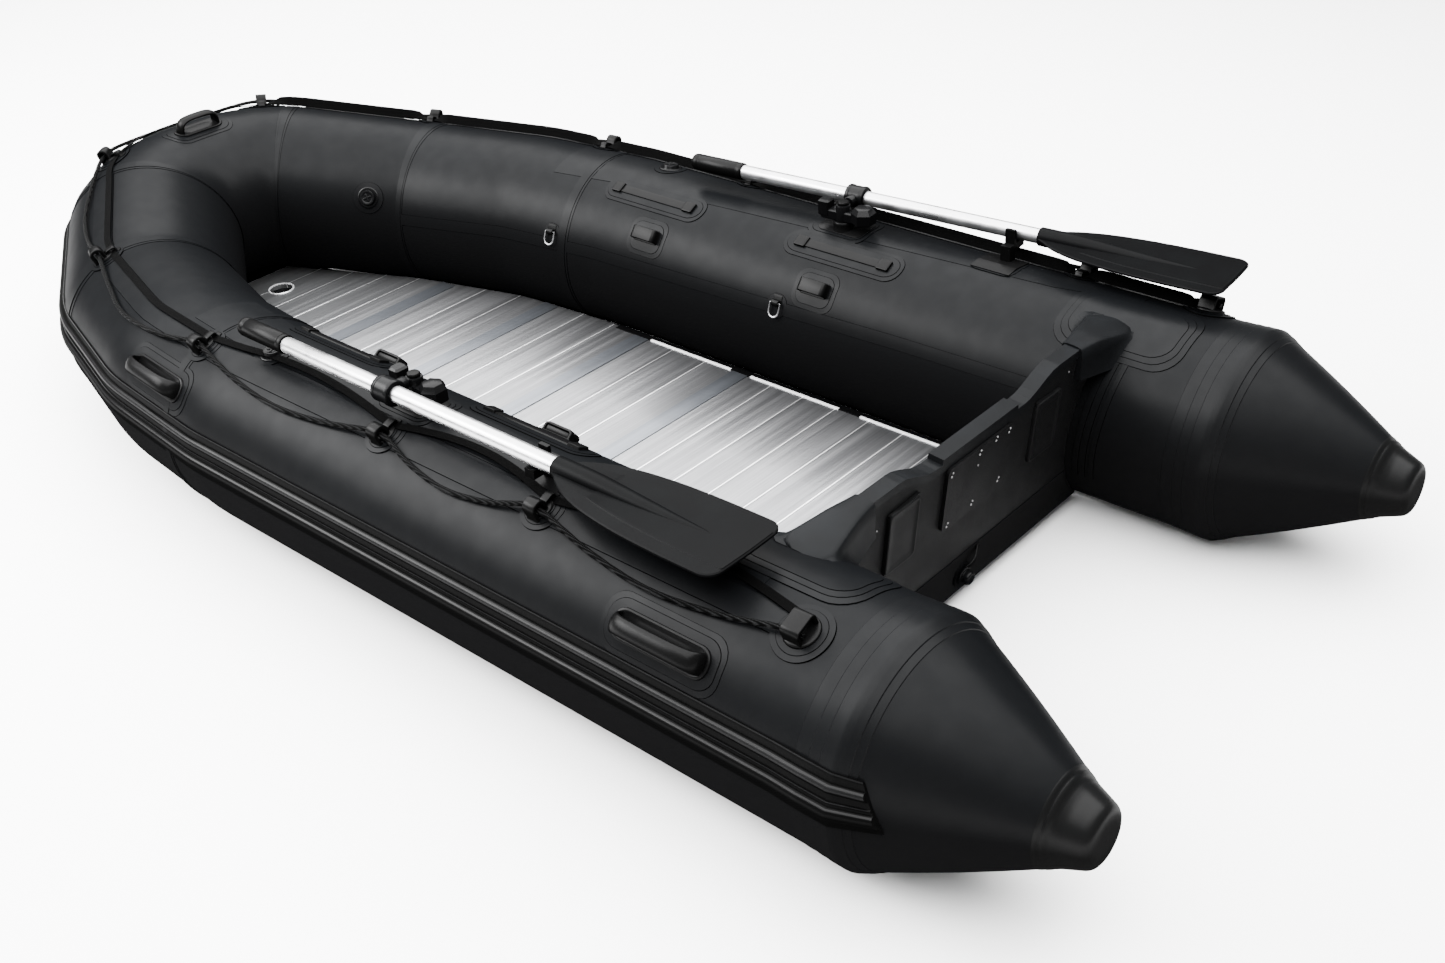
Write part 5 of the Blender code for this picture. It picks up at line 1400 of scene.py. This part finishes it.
# %% Brackets that spread from the board's top corners onto the tubes
bracket_from, bracket_to = 0.3495, 0.530
bracket_steps = 16
round_from = 0.8
for side, word in both_sides:
    bracket = Shape()
    rings = []
    for k in range(bracket_steps + 1):
        share = k / bracket_steps
        y = bracket_from + (bracket_to - bracket_from) * share
        half = 0.0255 + 0.0265 * min(1.0, share / round_from) ** 1.2
        if share > round_from:
            half -= 0.024 * (1 - math.sqrt(max(0.0, 1 - ((share - round_from) / (1 - round_from)) ** 2)))
        spread = 0.006 + 0.020 * share
        top = 0.4185 - 0.0165 * max(0.0, share - 0.35) / 0.65
        off_axis = min(0.2299, abs(y - half_spacing))
        tube_top = axis_height + math.sqrt(tube_radius ** 2 - off_axis ** 2)
        tube_top = (tube_top - board_foot) / math.cos(transom_rake)
        foot = min(max(tube_top + 0.0012, 0.345), top - 0.004)
        fall = top - foot
        section = [(half + spread, foot), (half + spread * 0.42, foot + fall * 0.22),
                   (half + spread * 0.08, foot + fall * 0.60), (half - 0.0022, top - 0.0048),
                   (half - 0.0060, top - 0.0018), (half - 0.0130, top), (0.0, top + 0.0008)]
        outline = section + [(-x, z) for x, z in reversed(section[:-1])]
        rings.append([board @ Vector((x, side * y, z)) for x, z in outline])
    bracket.loft(rings)
    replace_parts(bracket.piece(word + "_bracket", trim_rubber, crease=50), word + "_transom_bracket")
print("brackets over the board's corners")

# %% Drain plug and its tether
plug_place = board @ Matrix.Translation((0.0205, 0, 0.040)) @ Matrix.Rotation(math.pi / 2, 4, "Y")
plug = Shape()
plug_profile = [(0.0112, -0.0060), (0.0115, 0.0010), (0.0196, 0.0012), (0.0206, 0.0022), (0.0206, 0.0044),
                (0.0192, 0.0056), (0.0150, 0.0060), (0.0146, 0.0068), (0.0150, 0.0090), (0.0150, 0.0165),
                (0.0138, 0.0196), (0.0112, 0.0212), (0.0070, 0.0215), (0.0010, 0.0215)]
turned(plug, plug_place, plug_profile, 56)
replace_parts(plug.piece("plug_knob", moulded_plastic, body="plug"), "drain_plug")
tether = Shape()
tether_path = [board @ Vector(point) for point in
               ((0.0235, 0.004, 0.058), (0.0290, 0.014, 0.066), (0.0280, 0.027, 0.073), (0.0225, 0.038, 0.079),
                (0.0178, 0.048, 0.083))]
tether_path = smooth_path(tether_path, 0.004)
tether.bar(tether_path, oblong(0.0060, 0.0014, 0.0010, 2), board.to_3x3() @ Vector((1, 0, 0)))
turned(tether, board @ Matrix.Translation((0.0160, 0.050, 0.084)) @ Matrix.Rotation(math.pi / 2, 4, "Y"),
       [(0.0072, -0.001), (0.0072, 0.0012), (0.0060, 0.0022), (0.001, 0.0024)], 24)
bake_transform(tether.piece("plug_tether", moulded_rubber, body=None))
print("tether laid through", len(tether_path), "points")

# %% Air valves
valve_profile = [(0.0300, 0.0000), (0.0300, 0.0022), (0.0286, 0.0032), (0.0268, 0.0036), (0.0258, 0.0026),
                 (0.0222, 0.0026), (0.0212, 0.0040), (0.0208, 0.0100), (0.0196, 0.0118), (0.0150, 0.0124),
                 (0.0132, 0.0114), (0.0110, 0.0114), (0.0012, 0.0114)]
for name, x, side, degrees in (("port_valve", -0.26, -1, 7.5), ("starboard_valve", -0.26, 1, 7.5),
                               ("bow_valve", -1.18, 1, -67.5)):
    s = distance_at(x, side)
    here = seat(s, degrees)
    round_patch(s, degrees, 0.044, 1, 0.010, 0.0009)
    valve = Shape()
    turned(valve, here, valve_profile, 56)
    for k in range(2):
        turn = here @ Matrix.Translation((0, 0, 0.0114)) @ Matrix.Rotation(math.pi / 2 * k + 0.5, 4, "Z")
        block(valve, turn, (-0.0118, 0.0118), 0.0022, -0.0010, 0.0022, 0.0008)
    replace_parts(valve.piece(name + "_cap", moulded_plastic), name)
rim = Shape()
hole = Matrix.Translation((-1.285, 0.030, 0.066))
rim_profile = [(0.0328, -0.0020), (0.0328, 0.0012), (0.0336, 0.0018), (0.0362, 0.0018), (0.0372, 0.0010),
               (0.0374, 0.0001)]
rim.loft([[hole @ Vector((a, b, z)) for a, b in circle(radius, 56)] for radius, z in rim_profile], caps=False)
rim.piece("valve_hole_rim", edge_metal)
print("valves and the rim of the valve hole")

# %% [markdown]
# ## Finishes of the solids that stay
# The floor, transom, rings and some small fittings keep their solid shape. All but the
# rings get a small round on their sharp edges, because a real edge is never quite sharp
# and its round catches light.

# %% Give the remaining solids their finish and a small round on their edges
board_start = {"bow_board": (-1.400, 5), "floor_board_1": (-0.8908, 3), "floor_board_2": (-0.5459, 3),
               "floor_board_3": (-0.2010, 3), "stern_board": (0.1439, 9)}
solid_finish = {"hull_bottom": bottom_fabric, "keel_tube": bottom_fabric, "transom_board": board_coating,
                "motor_plate": board_coating, "transom_trim": trim_rubber}
family_finish = (("joint_profile", joint_metal), ("stringer", stringer_metal), ("oar_shaft", shaft_metal),
                 ("_ring", ring_steel), ("bracket", trim_rubber), ("grip", moulded_rubber),
                 ("blade", blade_plastic), ("collar", moulded_plastic), ("swivel", moulded_plastic),
                 ("valve", moulded_plastic), ("plug", moulded_plastic))
for name, thing in nodes.items():
    finish = solid_finish.get(name, moulded_rubber)
    for word, family in family_finish:
        if word in name:
            finish = family
    if name in board_start:
        low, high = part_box(name)[0][0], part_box(name)[1][0]
        finish = planked(name + "_metal", low, (high - low) / board_start[name][1])
    thing.data.materials.clear()
    thing.data.materials.append(finish)
    rounding = {"transom_board": 0.002, "motor_plate": 0.0022, "transom_trim": 0.0025}.get(name, 0.0012)
    if "bracket" in name:
        rounding = 0.006
    if "ring" not in name or "stringer" in name:
        edge = thing.modifiers.new("edge_round", "BEVEL")
        edge.width = rounding
        edge.segments = 3
        edge.limit_method = "ANGLE"
        edge.angle_limit = math.radians(38)
print("finishes on", len(nodes), "solids")

# %% [markdown]
# ## Studio
# The photograph shows the boat on plain white, in soft light. A plain pale floor and two
# big area lights give such broad highlights along the tubes and a soft shadow under them.

# %% Floor and lights
def backdrop():
    paint = Finish("pale_floor")
    tone = paint.noise(0.8, 1.0)
    paint.set(Base_Color=paint.blend(tone, (0.94, 0.94, 0.94), (0.955, 0.955, 0.955)), Roughness=0.8)
    size = 30.0
    mesh = bpy.data.meshes.new("pale_floor")
    mesh.from_pydata([(-size, -size, 0), (size, -size, 0), (size, size, 0), (-size, size, 0)],
                     [], [(0, 1, 2, 3)])
    mesh.materials.append(paint.material)
    ground = bpy.data.objects.new("pale_floor", mesh)
    bpy.context.scene.collection.objects.link(ground)
    ground.location.z = -0.0005


def soft_light(name, place, target, width, height, watts):
    lamp = bpy.data.lights.new(name, "AREA")
    lamp.shape = "RECTANGLE"
    lamp.size = width
    lamp.size_y = height
    lamp.energy = watts
    thing = bpy.data.objects.new(name, lamp)
    thing.location = place
    aim = Vector(target) - Vector(place)
    thing.rotation_mode = "QUATERNION"
    thing.rotation_quaternion = aim.to_track_quat("-Z", "Y")
    bpy.context.scene.collection.objects.link(thing)


backdrop()
soft_light("overhead", (-1.4, 0.0, 3.9), (-1.4, 0.0, 0), 10.0, 8.2, 4100)
soft_light("bow_side", (-3.6, -3.4, 3.3), (0.1, -0.1, 0.3), 3.6, 2.6, 880)
sky = bpy.data.worlds.new("studio_air")
sky.use_nodes = True
background = sky.node_tree.nodes["Background"].inputs
background["Color"].default_value = (1.0, 1.0, 1.0, 1.0)
background["Strength"].default_value = 0.80
bpy.context.scene.world = sky
print("studio lit")

# %% Make the patches and close the script
patches.piece("patches", tape_fabric, crease=25, second=seam_shadow)
